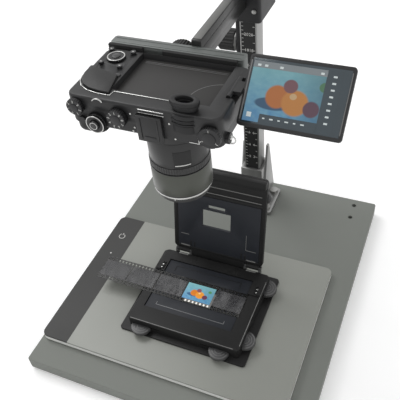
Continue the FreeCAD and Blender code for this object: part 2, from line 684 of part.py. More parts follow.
def make_base_plate():
    plate = slab("base_slab", ("base_width", "base_depth", "base_thickness"),
                 ("holder_shift", "base_y"), "plate_top", "base_corner")
    well = block("base_well", ("well_width", "well_depth", "3 * base_thickness"),
                 ("0", "gate_y"), "plate_top - base_thickness")
    node("holder_base_plate", cut("holder_base_plate", plate, [well]))


def make_film_stage():
    middle = ("holder_shift", "stage_y")
    shell = slab("stage_slab", ("stage_width", "stage_depth", "stage_height"), middle,
                 "base_top", "stage_corner", top_edge="stage_corner / 4")
    room = block("stage_room", ("stage_width - 2 * stage_wall", "stage_depth - 2 * stage_wall",
                                "stage_height - stage_roof + 1"), middle, "base_top - 1")
    pocket = block("insert_pocket", ("insert_width + 2 * seat_gap", "insert_depth + 2 * seat_gap",
                                     "stage_height"), ("0", "gate_y"), "ledge_top")
    throat = block("insert_throat", ("insert_width - 2 * insert_ledge",
                                     "insert_depth - 2 * insert_ledge", "stage_height"),
                   ("0", "gate_y"), "roof_base - 1")
    channel = block("film_channel", ("2 * stage_width", "channel_width", "stage_height"),
                    ("0", "gate_y"), "insert_top")
    slots = []
    low = "low_mask - slide_gap"
    high = "high_mask - slide_gap"
    tall = "mask_thickness + 2 * slide_gap"
    for side in (-1, 1):
        middle_x = f"({side}) * (side_neck_x - mask_travel_x / 2)"
        slots.append(block("front_slot", ("neck_width + mask_travel_x + 4 * slide_gap",
                                          "3 * stage_wall", tall),
                           (middle_x, "gate_y - stage_front + stage_wall / 2"), low))
        middle_y = f"gate_y + ({side}) * (deep_neck_y - mask_travel_y / 2)"
        slots.append(block("side_slot", ("3 * stage_wall",
                                         "neck_width + mask_travel_y + 4 * slide_gap", tall),
                           ("stage_right - stage_wall / 2", middle_y), high))
    node("film_stage", cut("film_stage", shell, [room, pocket, throat, channel] + slots))


def make_stage_insert():
    flange = block("insert_rim", ("insert_width", "insert_depth", "insert_flange"),
                   ("0", "gate_y"), "ledge_top")
    boss = block("insert_boss", ("insert_width - 2 * (insert_ledge + seat_gap)",
                                 "insert_depth - 2 * (insert_ledge + seat_gap)",
                                 "ledge_top - roof_base"), ("0", "gate_y"), "roof_base")
    window = block("insert_window", ("window_width", "window_depth", "stage_height"),
                   ("0", "gate_y"), "roof_base - 1")
    node("stage_insert", cut("stage_insert", fuse("insert_solid", [flange, boss]), [window]))


def make_mask_tray():
    frame = block("tray_frame", ("stage_width - 2 * (stage_wall + seat_gap)",
                                 "stage_depth - 2 * (stage_wall + seat_gap)", "tray_height"),
                  ("holder_shift", "stage_y"), "base_top")
    well = block("tray_well", ("well_width", "well_depth", "3 * tray_height"),
                 ("0", "gate_y"), "base_top - tray_height")
    node("mask_tray", cut("mask_tray", frame, [well]))


def make_side_mask(label, side):
    """Mask that closes in from the left or the right, with its grip in front."""
    inner = f"({side}) * (mask_gap_x + mask_reach_x / 2)"
    length = "stage_front - stage_wall - slide_gap + frame_width"
    blade = block(label + "_blade", ("mask_reach_x", length, "mask_thickness"),
                  (inner, f"gate_y + frame_width - ({length}) / 2"), "low_mask")
    neck_x = f"({side}) * side_neck_x"
    neck = block(label + "_neck", ("neck_width", "2 * stage_wall + 2", "mask_thickness"),
                 (neck_x, "gate_y - stage_front + stage_wall - 1"), "low_mask")
    grip = half_disc(label + "_grip", "grip_radius", "grip_height",
                     (neck_x, "gate_y - stage_front - slide_gap",
                      "low_mask + mask_thickness - grip_height"), 180)
    node(label, fuse(label, [blade, neck, grip]))


def make_deep_mask(label, side):
    """Mask that closes in from the front or the back, with its grip at the right."""
    inner = f"gate_y + ({side}) * (mask_gap_y + mask_reach_y / 2)"
    length = "stage_right - stage_wall - slide_gap + frame_length * 2 / 3"
    blade = block(label + "_blade", (length, "mask_reach_y", "mask_thickness"),
                  (f"({length}) / 2 - frame_length * 2 / 3", inner), "high_mask")
    neck_y = f"gate_y + ({side}) * deep_neck_y"
    neck = block(label + "_neck", ("2 * stage_wall + 2", "neck_width", "mask_thickness"),
                 ("stage_right - stage_wall + 1", neck_y), "high_mask")
    grip = half_disc(label + "_grip", "grip_radius", "grip_height",
                     ("stage_right + slide_gap", neck_y,
                      "high_mask + mask_thickness - grip_height"), -90)
    node(label, fuse(label, [blade, neck, grip]))


def make_hinge():
    """Brackets behind the stage, and the pins that the lid turns on."""
    brackets, pins = [], []
    reach = "knuckle_width / 2 + slide_gap + ear_width"
    back = "gate_y + stage_depth - stage_front"
    for side in (-1, 1):
        x = f"holder_shift + ({side}) * knuckle_out"
        foot = block("bracket_foot", (f"2 * ({reach})", "bracket_thickness",
                                      "stage_height - bracket_drop"),
                     (x, f"{back} + bracket_thickness / 2"), "base_top")
        ears = []
        for end in (-1, 1):
            ear_x = f"{x} + ({end}) * (knuckle_width / 2 + slide_gap + ear_width / 2)"
            ears.append(block("ear", ("ear_width", "hinge_axis_back + stage_front - stage_depth",
                                      "hinge_z - base_top"),
                              (ear_x, f"({back} + hinge_y) / 2"), "base_top"))
            ears.append(rod("ear_eye", "knuckle_radius", "ear_width",
                            (f"{ear_x} - ear_width / 2", "hinge_y", "hinge_z"), "x"))
        hole = rod("ear_hole", "pin_radius", f"2 * ({reach}) + 2",
                   (f"{x} - ({reach}) - 1", "hinge_y", "hinge_z"), "x")
        brackets.append(cut("hinge_bracket", fuse("bracket_solid", [foot] + ears), [hole]))
        pins.append(rod("hinge_pin", "pin_radius", f"2 * ({reach})",
                        (f"{x} - ({reach})", "hinge_y", "hinge_z"), "x"))
    node("hinge_brackets", group("hinge_brackets", brackets))
    node("hinge_pins", group("hinge_pins", pins))


def make_film_guides():
    side = "gate_y + channel_width / 2 + guide_gap + guide_length / 2"
    guides = [block("film_guide", ("guide_width", "guide_length", "guide_height"),
                    (x, side), "stage_top")
              for x in ("stage_left + guide_inset + guide_width / 2",
                        "stage_right - guide_inset - guide_width / 2")]
    node("film_guides", group("film_guides", guides))


def make_film_strip():
    node("film_strip", block("film_strip", ("film_length", "film_width", "film_thickness"),
                             ("film_x", "gate_y"), "film_base"))


# The lid is drawn closed, with its hinge axis through the origin, and then
# turned up to where it rests open.


def open_lid(label, piece):
    """Turn a piece of the lid up about the hinge and move it to its place."""
    turned = group(label, [piece])
    turned.Placement = Placement(Vector(), Rotation(Vector(-1, 0, 0), 90))
    place(turned, "holder_shift", "hinge_y", "hinge_z")
    bind(turned, ".Placement.Rotation.Angle", "90 + lid_lean")
    node(label, turned)


def make_lid():
    low = "-lid_thickness / 2"
    panel = slab("lid_slab", ("lid_width", "lid_length", "lid_thickness"),
                 ("0", "-lid_start - lid_length / 2"), low, "lid_corner")
    knuckles = []
    holes = []
    for side in (-1, 1):
        start = f"({side}) * knuckle_out - knuckle_width / 2"
        knuckles.append(rod("knuckle", "knuckle_radius", "knuckle_width", (start, "0", "0"), "x"))
        knuckles.append(block("knuckle_web", ("knuckle_width", "lid_start + web_bite",
                                              "knuckle_radius"),
                              (f"({side}) * knuckle_out", "-(lid_start + web_bite) / 2"),
                              "-knuckle_radius / 2"))
        holes.append(rod("knuckle_hole", "pin_radius + pin_fit", "knuckle_width + 2",
                         (f"{start} - 1", "0", "0"), "x"))
    opening = block("lid_opening", ("lid_panel_width + 2 * seat_gap",
                                    "lid_panel_length + 2 * seat_gap", "3 * lid_thickness"),
                    ("0", "-lid_panel_start - lid_panel_length / 2"), "-1.5 * lid_thickness")
    holes.append(rod("catch_hole", "pin_radius + pin_fit", "2 * lid_thickness",
                     ("lid_width / 2 - latch_inset", "-latch_start", "0")))
    frame = cut("lid_opened", fuse("lid_solid", [panel] + knuckles), [opening] + holes)
    open_lid("lid_frame", frame)

    inner = block("inner_panel", ("lid_panel_width", "lid_panel_length", "lid_panel_thickness"),
                  ("0", "-lid_panel_start - lid_panel_length / 2"), low)
    window = block("lid_window", ("frame_length + 2 * seat_gap", "frame_width + 2 * seat_gap",
                                  "3 * lid_thickness"),
                   ("-holder_shift", "-hinge_axis_back"), "-1.5 * lid_thickness")
    slot = block("lid_slot", ("slot_width", "slot_depth", "3 * lid_thickness"),
                 ("-holder_shift", "-slot_start - slot_depth / 2"), "-1.5 * lid_thickness")
    open_lid("lid_insert", cut("panel_opened", inner, [window, slot]))

    front = "-(hinge_axis_back + stage_front + 2 * slide_gap + bar_depth / 2)"
    bar = block("front_bar", ("lid_width", "bar_depth", "bar_drop"), ("0", front),
                f"{low} - bar_drop")
    open_lid("lid_front_bar", bar)

    catch_x = "lid_width / 2 - latch_inset"
    disc = rod("catch_disc", "latch_radius", "latch_height",
               (catch_x, "-latch_start", "lid_thickness / 2 + slide_gap"))
    stub = rod("catch_stub", "pin_radius", "lid_thickness / 2 + slide_gap",
               (catch_x, "-latch_start", "slide_gap"))
    open_lid("lid_latch", fuse("catch_solid", [disc, stub]))


# Carriage, arm and rail


def make_carriage():
    body = slab("carriage_slab", ("carriage_width", "carriage_depth", "carriage_height"),
                ("0", "column_y"), "carriage_bottom", "base_corner",
                top_edge="carriage_edge", bottom_edge="carriage_edge")
    bore = block("carriage_bore", ("guide_bore_width", "guide_bore_depth",
                                   "2 * carriage_height"), ("0", "column_y"),
                 "carriage_bottom - 1")
    tongue_z = "knob_z - tongue_depth / 2"
    tongue = block("tongue", ("tongue_thickness", "tongue_depth",
                              f"carriage_bottom + glide_height / 4 - ({tongue_z})"),
                   ("tongue_x + tongue_thickness / 2", "column_y"), tongue_z)
    boss = rod("knob_boss", "washer_radius", "washer_thickness",
               ("tongue_x", "column_y", "knob_z"), "-x")
    hole = rod("knob_shaft_hole", "knob_shaft_radius + pin_fit", "carriage_width",
               ("0", "column_y", "knob_z"), "-x")
    housing = fuse("carriage_solid", [cut("carriage_bored", body, [bore]), tongue, boss])
    node("carriage_housing", cut("carriage_housing", housing, [hole]))


def make_glide_pads():
    pads = []
    for level in ("carriage_bottom + glide_inset",
                  "carriage_bottom + carriage_height - glide_height - glide_inset"):
        for side in (-1, 1):
            pads.append(block("side_glide", ("glide_thickness", "glide_width", "glide_height"),
                              (f"({side}) * (guide_bore_width / 2 - glide_thickness / 2)",
                               "column_y"), level))
            pads.append(block("deep_glide", ("glide_width", "glide_thickness", "glide_height"),
                              ("0", f"column_y + ({side}) * "
                               "(guide_bore_depth / 2 - glide_thickness / 2)"), level))
    node("glide_pads", group("glide_pads", pads))


def make_clamp_knob():
    grip = rod("knob_grip", "knob_radius", "knob_length", ("knob_x", "column_y", "knob_z"), "-x")
    nose = rod("knob_nose", "knob_nose_radius", "knob_nose_length",
               ("knob_x - knob_length", "column_y", "knob_z"), "-x")
    shaft = rod("knob_shaft", "knob_shaft_radius",
                "slide_gap + washer_thickness + tongue_thickness + 1",
                ("knob_x - 1", "column_y", "knob_z"), "x")
    node("clamp_knob", fuse("clamp_knob", [grip, nose, shaft]))


def make_arm():
    beam = block("arm_beam", ("arm_width", "arm_length", "arm_height"),
                 ("0", "arm_front + arm_length / 2"), "board_top + arm_base")
    node("camera_arm", beam)


def make_rail():
    bar = slab("rail_bar", ("rail_length", "rail_depth", "rail_height"),
               ("rail_length / 2 - rail_left", "rail_y"), "rail_z", "rail_corner")
    hole = rod("rail_hole", "tripod_screw_radius + pin_fit", "3 * rail_depth",
               ("-tripod_x", "rail_front - 1", "tripod_z"), "y")
    node("camera_rail", cut("camera_rail", bar, [hole]))
    thickness = "rail_front - cam_base_y"
    sheets = [block(name, (length, thickness, "rail_pad_height"),
                    (f"{length} / 2 - {left}", "(rail_front + cam_base_y) / 2"),
                    "board_top + rail_top - rail_pad_height")
              for name, length, left in (("pad_sheet", "rail_pad_length", "rail_pad_left"),
                                         ("pad_block", "rail_block_length", "rail_left"))]
    pad_hole = rod("pad_hole", "tripod_screw_radius + slide_gap", "3 * rail_depth",
                   ("-tripod_x", "cam_base_y - 1", "tripod_z"), "y")
    node("rail_pad", group("rail_pad", [cut("pad_drilled", sheets[0], [pad_hole]), sheets[1]]))


def make_tripod_knob():
    knob = rod("tripod_grip", "tripod_knob_radius", "tripod_knob_length",
               ("-tripod_x", "gate_y + rail_back + slide_gap", "tripod_z"), "y")
    screw = rod("tripod_screw", "tripod_screw_radius",
                "rail_back - cam_bottom + slide_gap + tripod_screw_depth + 1",
                ("-tripod_x", "gate_y + rail_back + slide_gap + 1", "tripod_z"), "-y")
    node("tripod_knob", fuse("tripod_knob", [knob, screw]))


# Camera


def shell_hollow(name, base, height):
    return block(name, ("cam_width - 2 * cam_wall - cam_corner",
                        "cam_height - 2 * (cam_wall + tripod_screw_depth + 1)", height),
                 ("cam_x", "cam_y"), base)


def spindle_hole(name, x, z):
    """Hole in the top plate for a dial's spindle."""
    return rod(name, "spindle_radius + pin_fit", "cam_wall + tripod_screw_depth + 2",
               (x, "cam_top_y - 1", z), "y")


def key_hole(name, x, y, radius):
    return rod(name, f"{radius} + pin_fit", "cam_back_wall + 2",
               (x, y, "cam_back_z - cam_back_wall - 1"))


DIALS = [
    ("mode", "-mode_x", "board_top + mode_over"),
    ("release", "-release_x", "board_top + release_over"),
    ("exposure", "-exposure_x", "board_top + exposure_over"),
    ("drive", "drive_x", "board_top + drive_over"),
]
KEYS = [("play", "-play_x", "gate_y + play_y"), ("menu", "-menu_x", "gate_y + menu_y"),
        ("info", "-info_x", "gate_y + info_y"), ("zoom", "-zoom_x", "gate_y + zoom_y")]


def make_camera_shells():
    rear = slab("rear_slab", ("cam_width", "cam_height", "cam_split"), ("cam_x", "cam_y"),
                "cam_split_z", "cam_corner", top_edge="cam_edge")
    holes = [shell_hollow("rear_hollow", "cam_split_z - 1", "cam_split - cam_back_wall + 1")]
    holes.append(block("screen_recess", ("recess_width", "recess_height", "2 * recess_depth"),
                       ("0", "recess_y"), "cam_back_z - recess_depth"))
    holes.append(block("hinge_notch", ("2 * hinge_block_width", "hinge_barrel_length + 2",
                                       "2 * hinge_block_height"),
                       ("cam_hinge_end", "tilt_y"), "cam_back_z - hinge_block_height"))
    holes += [spindle_hole(f"{name}_hole_rear", x, z) for name, x, z in DIALS]
    holes.append(rod("tripod_socket_rear", "tripod_screw_radius + pin_fit",
                     "tripod_screw_depth + 1",
                     ("-tripod_x", "cam_base_y + 0.5", "tripod_z"), "-y"))
    holes += [key_hole(f"{name}_hole", x, y, "key_stem") for name, x, y in KEYS]
    holes.append(key_hole("pad_dial_hole", "-pad_dial_x", "gate_y + pad_dial_y",
                          "spindle_radius"))
    node("camera_rear_shell", cut("camera_rear_shell", rear, holes))

    front = slab("front_slab", ("cam_width", "cam_height", "cam_depth - cam_split"),
                 ("cam_x", "cam_y"), "cam_front_z", "cam_corner", bottom_edge="cam_edge")
    holes = [shell_hollow("front_hollow", "cam_front_z + cam_wall", "cam_depth"),
             rod("mount_hole", "mount_radius", "2 * cam_wall",
                 ("0", "gate_y", "cam_front_z - cam_wall / 2"))]
    holes += [spindle_hole(f"{name}_hole_front", x, z) for name, x, z in DIALS]
    holes.append(rod("tripod_socket", "tripod_screw_radius + pin_fit", "tripod_screw_depth + 1",
                     ("-tripod_x", "cam_base_y + 0.5", "tripod_z"), "-y"))
    lug = rod("strap_lug", "lug_radius", "lug_length",
              ("cam_hinge_end - 1", "cam_top_y + lug_inset", "cam_split_z - lug_drop"), "x")
    lug_hole = rod("strap_eye", "lug_radius / 2", "3 * lug_length",
                   ("cam_hinge_end + 0.5", "cam_top_y + lug_inset", "cam_split_z - lug_drop"),
                   "x")
    body = cut("front_opened", front, holes)
    node("camera_front_shell", cut("camera_front_shell", fuse("front_lugged", [body, lug]),
                                   [lug_hole]))


def make_camera_trim():
    grip = slab("grip_slab", ("grip_width", "cam_height - 2 * grip_inset", "grip_depth"),
                ("grip_width / 2 - cam_grip_end + grip_end_inset", "cam_y"),
                "cam_front_z - grip_depth", "grip_corner", bottom_edge="grip_corner * 2 / 3")
    node("grip_cover", grip)
    cover = block("shoe_cover", ("shoe_width", "shoe_height", "shoe_length"),
                  ("-shoe_x", "cam_top_y - shoe_height / 2"),
                  "board_top + shoe_over - shoe_length / 2")
    node("hot_shoe_cover", cover)
    node("sensor_unit", block("sensor_unit", ("sensor_plate", "cam_height - "
                                              "2 * (cam_wall + tripod_screw_depth + 1 + seat_gap)",
                                              "sensor_depth"),
                              ("0", "cam_y"), "cam_front_z + cam_wall"))


def make_lens():
    tube = rod("tube", "lens_tube_radius", "cam_front_z - lens_front_z",
               ("0", "gate_y", "lens_front_z"))
    rim = rod("rim", "lens_front_radius", "lens_front_length", ("0", "gate_y", "lens_front_z"))
    sleeve = rod("sleeve", "lens_radius", "lens_sleeve", ("0", "gate_y", "sleeve_z"))
    collar = rod("collar", "lens_radius", "lens_collar", ("0", "gate_y", "collar_z"))
    bore = rod("lens_bore", "lens_bore", "cam_front_z - lens_front_z + 2",
               ("0", "gate_y", "lens_front_z - 1"))
    thread = rod("filter_thread", "filter_radius", "filter_depth + 1",
                 ("0", "gate_y", "lens_front_z - 1"))
    node("lens_barrel", cut("lens_barrel", fuse("barrel_solid", [tube, rim, sleeve, collar]),
                            [bore, thread]))
    glass = rod("glass_disc", "lens_bore - seat_gap / 3", "glass_thickness",
                ("0", "gate_y", "lens_front_z + lens_front_length"))
    node("lens_glass", glass)
    outer = rod("ring_outer", "lens_radius", "ring_length", ("0", "gate_y", "ring_z"))
    inner = rod("ring_inner", "lens_tube_radius + pin_fit", "ring_length + 2",
                ("0", "gate_y", "ring_z - 1"))
    node("focus_ring", cut("focus_ring", outer, [inner]))


def make_dial(label, x, z, radius, height, bore=None):
    """Dial on the camera's top plate, with its spindle in the plate."""
    disc = rod(label + "_disc", radius, height, (x, "cam_top_y - dial_gap", z), "-y")
    spindle = rod(label + "_spindle", "spindle_radius", "cam_wall + dial_gap + 1",
                  (x, "cam_top_y - dial_gap - 1", z), "y")
    solid = fuse(label if bore is None else label + "_solid", [disc, spindle])
    if bore:
        hole = rod(label + "_bore", bore, f"({height}) / 2 + 1",
                   (x, f"cam_top_y - dial_gap - ({height}) - 1", z), "y")
        solid = cut(label, solid, [hole])
    node(label, solid)


def make_dials():
    for name, x, z in DIALS:
        bore = "button_radius + pin_fit" if name == "release" else None
        make_dial(name + "_dial", x, z, name + "_radius", name + "_height", bore)
    button = rod("shutter_button", "button_radius",
                 "release_height / 2 + button_height - button_clearance",
                 ("-release_x", "cam_top_y - dial_gap - release_height / 2 - button_clearance",
                  "board_top + release_over"), "-y")
    node("shutter_button", button)
    disc = rod("pad_disc", "pad_dial_radius", "pad_dial_height",
               ("-pad_dial_x", "gate_y + pad_dial_y", "cam_back_z + dial_gap"))
    spindle = rod("pad_spindle", "spindle_radius", "dial_gap + cam_wall + 1",
                  ("-pad_dial_x", "gate_y + pad_dial_y", "cam_back_z - cam_wall"))
    node("rear_dial", fuse("rear_dial", [disc, spindle]))


def make_keys():
    for name, x, y in KEYS:
        stem = rod(name + "_stem", "key_stem", "cam_wall + dial_gap + 2",
                   (x, y, "cam_back_z - cam_wall"))
        head = rod(name + "_head", "key_radius", "key_height", (x, y, "cam_back_z + 3 * dial_gap"))
        node(name + "_button", fuse(name + "_button", [stem, head]))


def make_eyepiece():
    hood = slab("eye_hood", ("eye_width", "eye_depth", "eye_height"), ("eye_x", "eye_mid_y"),
                "cam_back_z + slide_gap", "eye_depth / 3", top_edge="eye_edge")
    opening = rod("eye_opening", "eye_bore", "eye_height",
                  ("eye_x", "eye_mid_y", "cam_back_z + eye_height / 2"))
    node("eyecup", cut("eyecup", hood, [opening]))


# The screen swings about its hinge barrel and tilts about its long axis.


def tilt_screen(label, piece):
    """Tilt a piece of the screen forward and move it to its place."""
    turned = group(label, [piece])
    turned.Placement = Placement(Vector(), Rotation(Vector(1, 0, 0), 10))
    place(turned, "screen_start", "tilt_y", "tilt_z")
    bind(turned, ".Placement.Rotation.Angle", "screen_tilt")
    node(label, turned)


def make_screen():
    leaf_length = "screen_start - slide_gap - swing_axis_x"
    barrel = rod("swing_barrel", "hinge_barrel_radius", "hinge_barrel_length",
                 ("swing_axis_x", "tilt_y - hinge_barrel_length / 2", "tilt_z"), "y")
    leaf = block("swing_leaf", (leaf_length, "hinge_block_length", "leaf_thickness"),
                 (f"swing_axis_x + ({leaf_length}) / 2", "tilt_y"),
                 "tilt_z - leaf_thickness / 2")
    pivot = rod("tilt_pivot", "tilt_pivot_radius", "tilt_pivot_length + 2 * slide_gap",
                ("screen_start - 2 * slide_gap", "tilt_y", "tilt_z"), "x")
    node("screen_hinge", fuse("screen_hinge", [barrel, leaf, pivot]))

    low = "-screen_thickness / 2"
    panel = slab("screen_slab", ("screen_width", "screen_height", "screen_thickness"),
                 ("screen_width / 2", "0"), low, "screen_corner", bottom_edge="screen_edge")
    hole = rod("pivot_hole", "tilt_pivot_radius + pin_fit", "tilt_pivot_length + 1 + slide_gap",
               ("-1", "0", "0"), "x")
    pocket = block("glass_pocket", ("screen_width - 2 * screen_glass_margin",
                                    "screen_height - 2 * screen_glass_margin",
                                    "screen_thickness"), ("screen_width / 2", "0"),
                   "screen_thickness / 2 - screen_glass_thickness")
    tilt_screen("screen_housing", cut("screen_opened", panel, [hole, pocket]))
    glass = block("glass_sheet", ("screen_width - 2 * (screen_glass_margin + glass_fit)",
                                  "screen_height - 2 * (screen_glass_margin + glass_fit)",
                                  "screen_glass_thickness"), ("screen_width / 2", "0"),
                  "screen_thickness / 2 - screen_glass_thickness")
    tilt_screen("screen_glass", glass)


def build():
    make_baseboard()
    make_board_feet()
    make_column_foot()
    make_foot_bolts()
    make_column()
    make_light_plate()
    make_base_plate()
    make_film_stage()
    make_stage_insert()
    make_mask_tray()
    make_side_mask("left_mask", -1)
    make_side_mask("right_mask", 1)
    make_deep_mask("front_mask", -1)
    make_deep_mask("back_mask", 1)
    make_hinge()
    make_film_guides()
    make_film_strip()
    make_lid()
    make_carriage()
    make_glide_pads()
    make_clamp_knob()
    make_arm()
    make_rail()
    make_tripod_knob()
    make_camera_shells()
    make_camera_trim()
    make_lens()
    make_dials()
    make_keys()
    make_eyepiece()
    make_screen()


def write_parts():
    """Check every object of the document, then write each sub-part's file."""
    doc.recompute()
    for item in doc.Objects:
        if "Invalid" in item.State or "Error" in item.State:
            raise RuntimeError(f"{item.Name} ({item.Label}) failed: {item.State}")
    for item in nodes:
        if item.Shape.isNull() or not item.Shape.isValid() or not item.Shape.Solids:
            raise RuntimeError(f"{item.Label} has no valid solid")
    os.makedirs("parts", exist_ok=True)
    for item in nodes:
        item.Shape.exportStep(f"parts/{item.Label}.step")
        print(item.Label, len(item.Shape.Solids), round(item.Shape.Volume))


build()
write_parts()
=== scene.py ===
import json
import math

import bmesh
import bpy
from mathutils import Matrix, Vector


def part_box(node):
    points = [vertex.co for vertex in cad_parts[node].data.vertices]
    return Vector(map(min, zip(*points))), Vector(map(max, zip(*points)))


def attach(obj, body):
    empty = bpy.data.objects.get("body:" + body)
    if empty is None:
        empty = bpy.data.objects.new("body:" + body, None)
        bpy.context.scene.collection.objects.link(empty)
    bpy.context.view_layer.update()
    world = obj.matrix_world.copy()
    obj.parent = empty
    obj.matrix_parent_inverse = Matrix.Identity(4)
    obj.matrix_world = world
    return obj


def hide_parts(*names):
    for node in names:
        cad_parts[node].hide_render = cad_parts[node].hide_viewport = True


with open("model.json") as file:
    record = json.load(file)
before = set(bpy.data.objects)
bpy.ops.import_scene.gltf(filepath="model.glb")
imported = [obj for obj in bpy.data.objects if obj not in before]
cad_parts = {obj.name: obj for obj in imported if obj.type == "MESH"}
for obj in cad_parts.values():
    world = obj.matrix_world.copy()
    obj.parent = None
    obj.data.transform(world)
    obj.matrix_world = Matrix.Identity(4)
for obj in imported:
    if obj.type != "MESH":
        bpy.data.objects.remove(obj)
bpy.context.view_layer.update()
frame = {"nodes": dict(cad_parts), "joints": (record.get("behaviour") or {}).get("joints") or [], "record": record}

# Film copying rig: camera on a column over a film holder and a light plate.
# Lengths below are in millimetres and become metres where a mesh is placed.

MM = 0.001
INK = 0.1             # height of a print
SUNK = 0.02           # how deep a print starts in its surface
PICTURE = (36, 24)    # width and depth of a film picture
PICTURE_STEP = 38
LID_INNER = -2.75     # inner face of the closed lid, from its hinge
DIAL_GROOVE = 0.35    # depth of a dial's knurling
TURNS = {
    "z": Matrix.Identity(4),
    "x": Matrix.Rotation(math.pi / 2, 4, "Y"),
    "-x": Matrix.Rotation(-math.pi / 2, 4, "Y"),
    "y": Matrix.Rotation(-math.pi / 2, 4, "X"),
    "-y": Matrix.Rotation(math.pi / 2, 4, "X"),
}


def extent(name):
    """Lowest and highest corner of a CAD node in millimetres."""
    low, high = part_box(name)
    return low / MM, high / MM


def measure(name):
    """Lowest and highest corner of a CAD node, and its middle."""
    low, high = extent(name)
    return low, high, (low + high) / 2


def middle(name):
    return measure(name)[2]


# Materials


GLOSS_SPREAD = 0.06   # how far a surface's roughness varies
SOFT_RIM = 0.08       # width of a drawn disc's blurred rim, as a share of it
LIT_WELL = (0.021, 0.017)   # half width and depth of the lit well in metres
FRUITS = (
    # centre, half width and half height in the picture, and colour
    ((0.30, 0.33), (0.20, 0.10), (0.03, 0.12, 0.25)),
    ((0.34, 0.46), (0.13, 0.19), (0.75, 0.22, 0.02)),
    ((0.55, 0.40), (0.15, 0.21), (0.86, 0.33, 0.04)),
    ((0.74, 0.34), (0.09, 0.13), (0.16, 0.05, 0.09)),
    ((0.47, 0.66), (0.08, 0.11), (0.28, 0.10, 0.12)),
    ((0.52, 0.50), (0.04, 0.05), (0.95, 0.62, 0.30)),
    ((0.84, 0.72), (0.06, 0.08), (0.10, 0.28, 0.12)),
)


def grey(level):
    return (level,) * 3


def new_material(name, slot):
    """Empty node material with its shader, and the record's slot it belongs to."""
    mat = bpy.data.materials.new(name)
    mat.use_nodes = True
    mat["slot"] = slot
    shader = mat.node_tree.nodes["Principled BSDF"]
    return mat, mat.node_tree, shader


def add_node(tree, kind, **settings):
    node = tree.nodes.new(kind)
    for key, value in settings.items():
        setattr(node, key, value)
    return node


def set_inputs(node, values):
    for key, value in values.items():
        node.inputs[key].default_value = value


def scaled(tree, source, scale, shift):
    """Coordinates from a socket, scaled and moved."""
    mapping = add_node(tree, "ShaderNodeMapping")
    set_inputs(mapping, {"Location": shift, "Scale": scale})
    tree.links.new(source, mapping.inputs["Vector"])
    return mapping.outputs["Vector"]


def place_coords(tree, scale=(1, 1, 1), shift=(0, 0, 0)):
    """Object coordinates, scaled and moved."""
    source = add_node(tree, "ShaderNodeTexCoord")
    return scaled(tree, source.outputs["Object"], scale, shift)


def noise(tree, vector, scale, detail=3.0, rough=0.55):
    node = add_node(tree, "ShaderNodeTexNoise")
    set_inputs(node, {"Scale": scale, "Detail": detail, "Roughness": rough})
    tree.links.new(vector, node.inputs["Vector"])
    return node.outputs["Fac"]


def spread(tree, value, low, high, start=0.3, end=0.7):
    """Map a value between two limits to a range."""
    node = add_node(tree, "ShaderNodeMapRange", clamp=True)
    set_inputs(node, {"From Min": start, "From Max": end, "To Min": low, "To Max": high})
    tree.links.new(value, node.inputs["Value"])
    return node.outputs["Result"]


def blend_colours(tree, fac, first, second):
    """Mix two colours, each a triple or a socket."""
    node = add_node(tree, "ShaderNodeMix", data_type="RGBA")
    for key, colour in ((6, first), (7, second)):
        if isinstance(colour, tuple):
            node.inputs[key].default_value = (*colour, 1)
        else:
            tree.links.new(colour, node.inputs[key])
    tree.links.new(fac, node.inputs[0])
    return node.outputs[2]


def larger(tree, first, second):
    node = add_node(tree, "ShaderNodeMath", operation="MAXIMUM")
    tree.links.new(first, node.inputs[0])
    tree.links.new(second, node.inputs[1])
    return node.outputs["Value"]


def raise_surface(tree, shader, height, strength, distance):
    bump = add_node(tree, "ShaderNodeBump")
    set_inputs(bump, {"Strength": strength, "Distance": distance})
    tree.links.new(height, bump.inputs["Height"])
    tree.links.new(bump.outputs["Normal"], shader.inputs["Normal"])


def finish_of(name, slot, colour, rough, grain=2500.0, depth=0.00004, metal=0.0, vary=0.12,
              stretch=(1, 1, 1), bump=0.5, patch=30.0, coat=0.0, specular=0.5):
    """Moulded, painted or metal surface: soft patches of tone, fine grain, uneven gloss."""
    mat, tree, shader = new_material(name, slot)
    vector = place_coords(tree, stretch)
    patches = noise(tree, vector, patch, 4.0)
    fine = noise(tree, vector, grain, 2.0)
    dark = tuple(c * (1 - vary) for c in colour)
    light = tuple(min(1.0, c * (1 + vary)) for c in colour)
    tone = blend_colours(tree, spread(tree, patches, 0, 1), dark, light)
    speck = blend_colours(tree, spread(tree, fine, 0, 0.5), tone, light)
    tree.links.new(speck, shader.inputs["Base Color"])
    gloss = spread(tree, patches, rough - GLOSS_SPREAD, rough + GLOSS_SPREAD)
    tree.links.new(gloss, shader.inputs["Roughness"])
    set_inputs(shader, {"Metallic": metal, "Coat Weight": coat, "Specular IOR Level": specular})
    raise_surface(tree, shader, fine, bump, depth)
    return mat


def glowing(name, slot, colour, strength):
    """Small lit mark."""
    mat = finish_of(name, slot, colour, 0.5, vary=0.05)
    set_inputs(mat.node_tree.nodes["Principled BSDF"],
               {"Emission Color": (*colour, 1), "Emission Strength": strength})
    return mat


def disc_mask(tree, uv, centre, radius):
    """1 inside an ellipse of the picture, 0 outside."""
    (x, y), (wide, tall) = centre, radius
    vector = scaled(tree, uv, (1 / wide, 1 / tall, 0), (-x / wide, -y / tall, 0))
    length = add_node(tree, "ShaderNodeVectorMath", operation="LENGTH")
    tree.links.new(vector, length.inputs[0])
    return spread(tree, length.outputs["Value"], 1.0, 0.0, 1 - SOFT_RIM, 1 + SOFT_RIM)


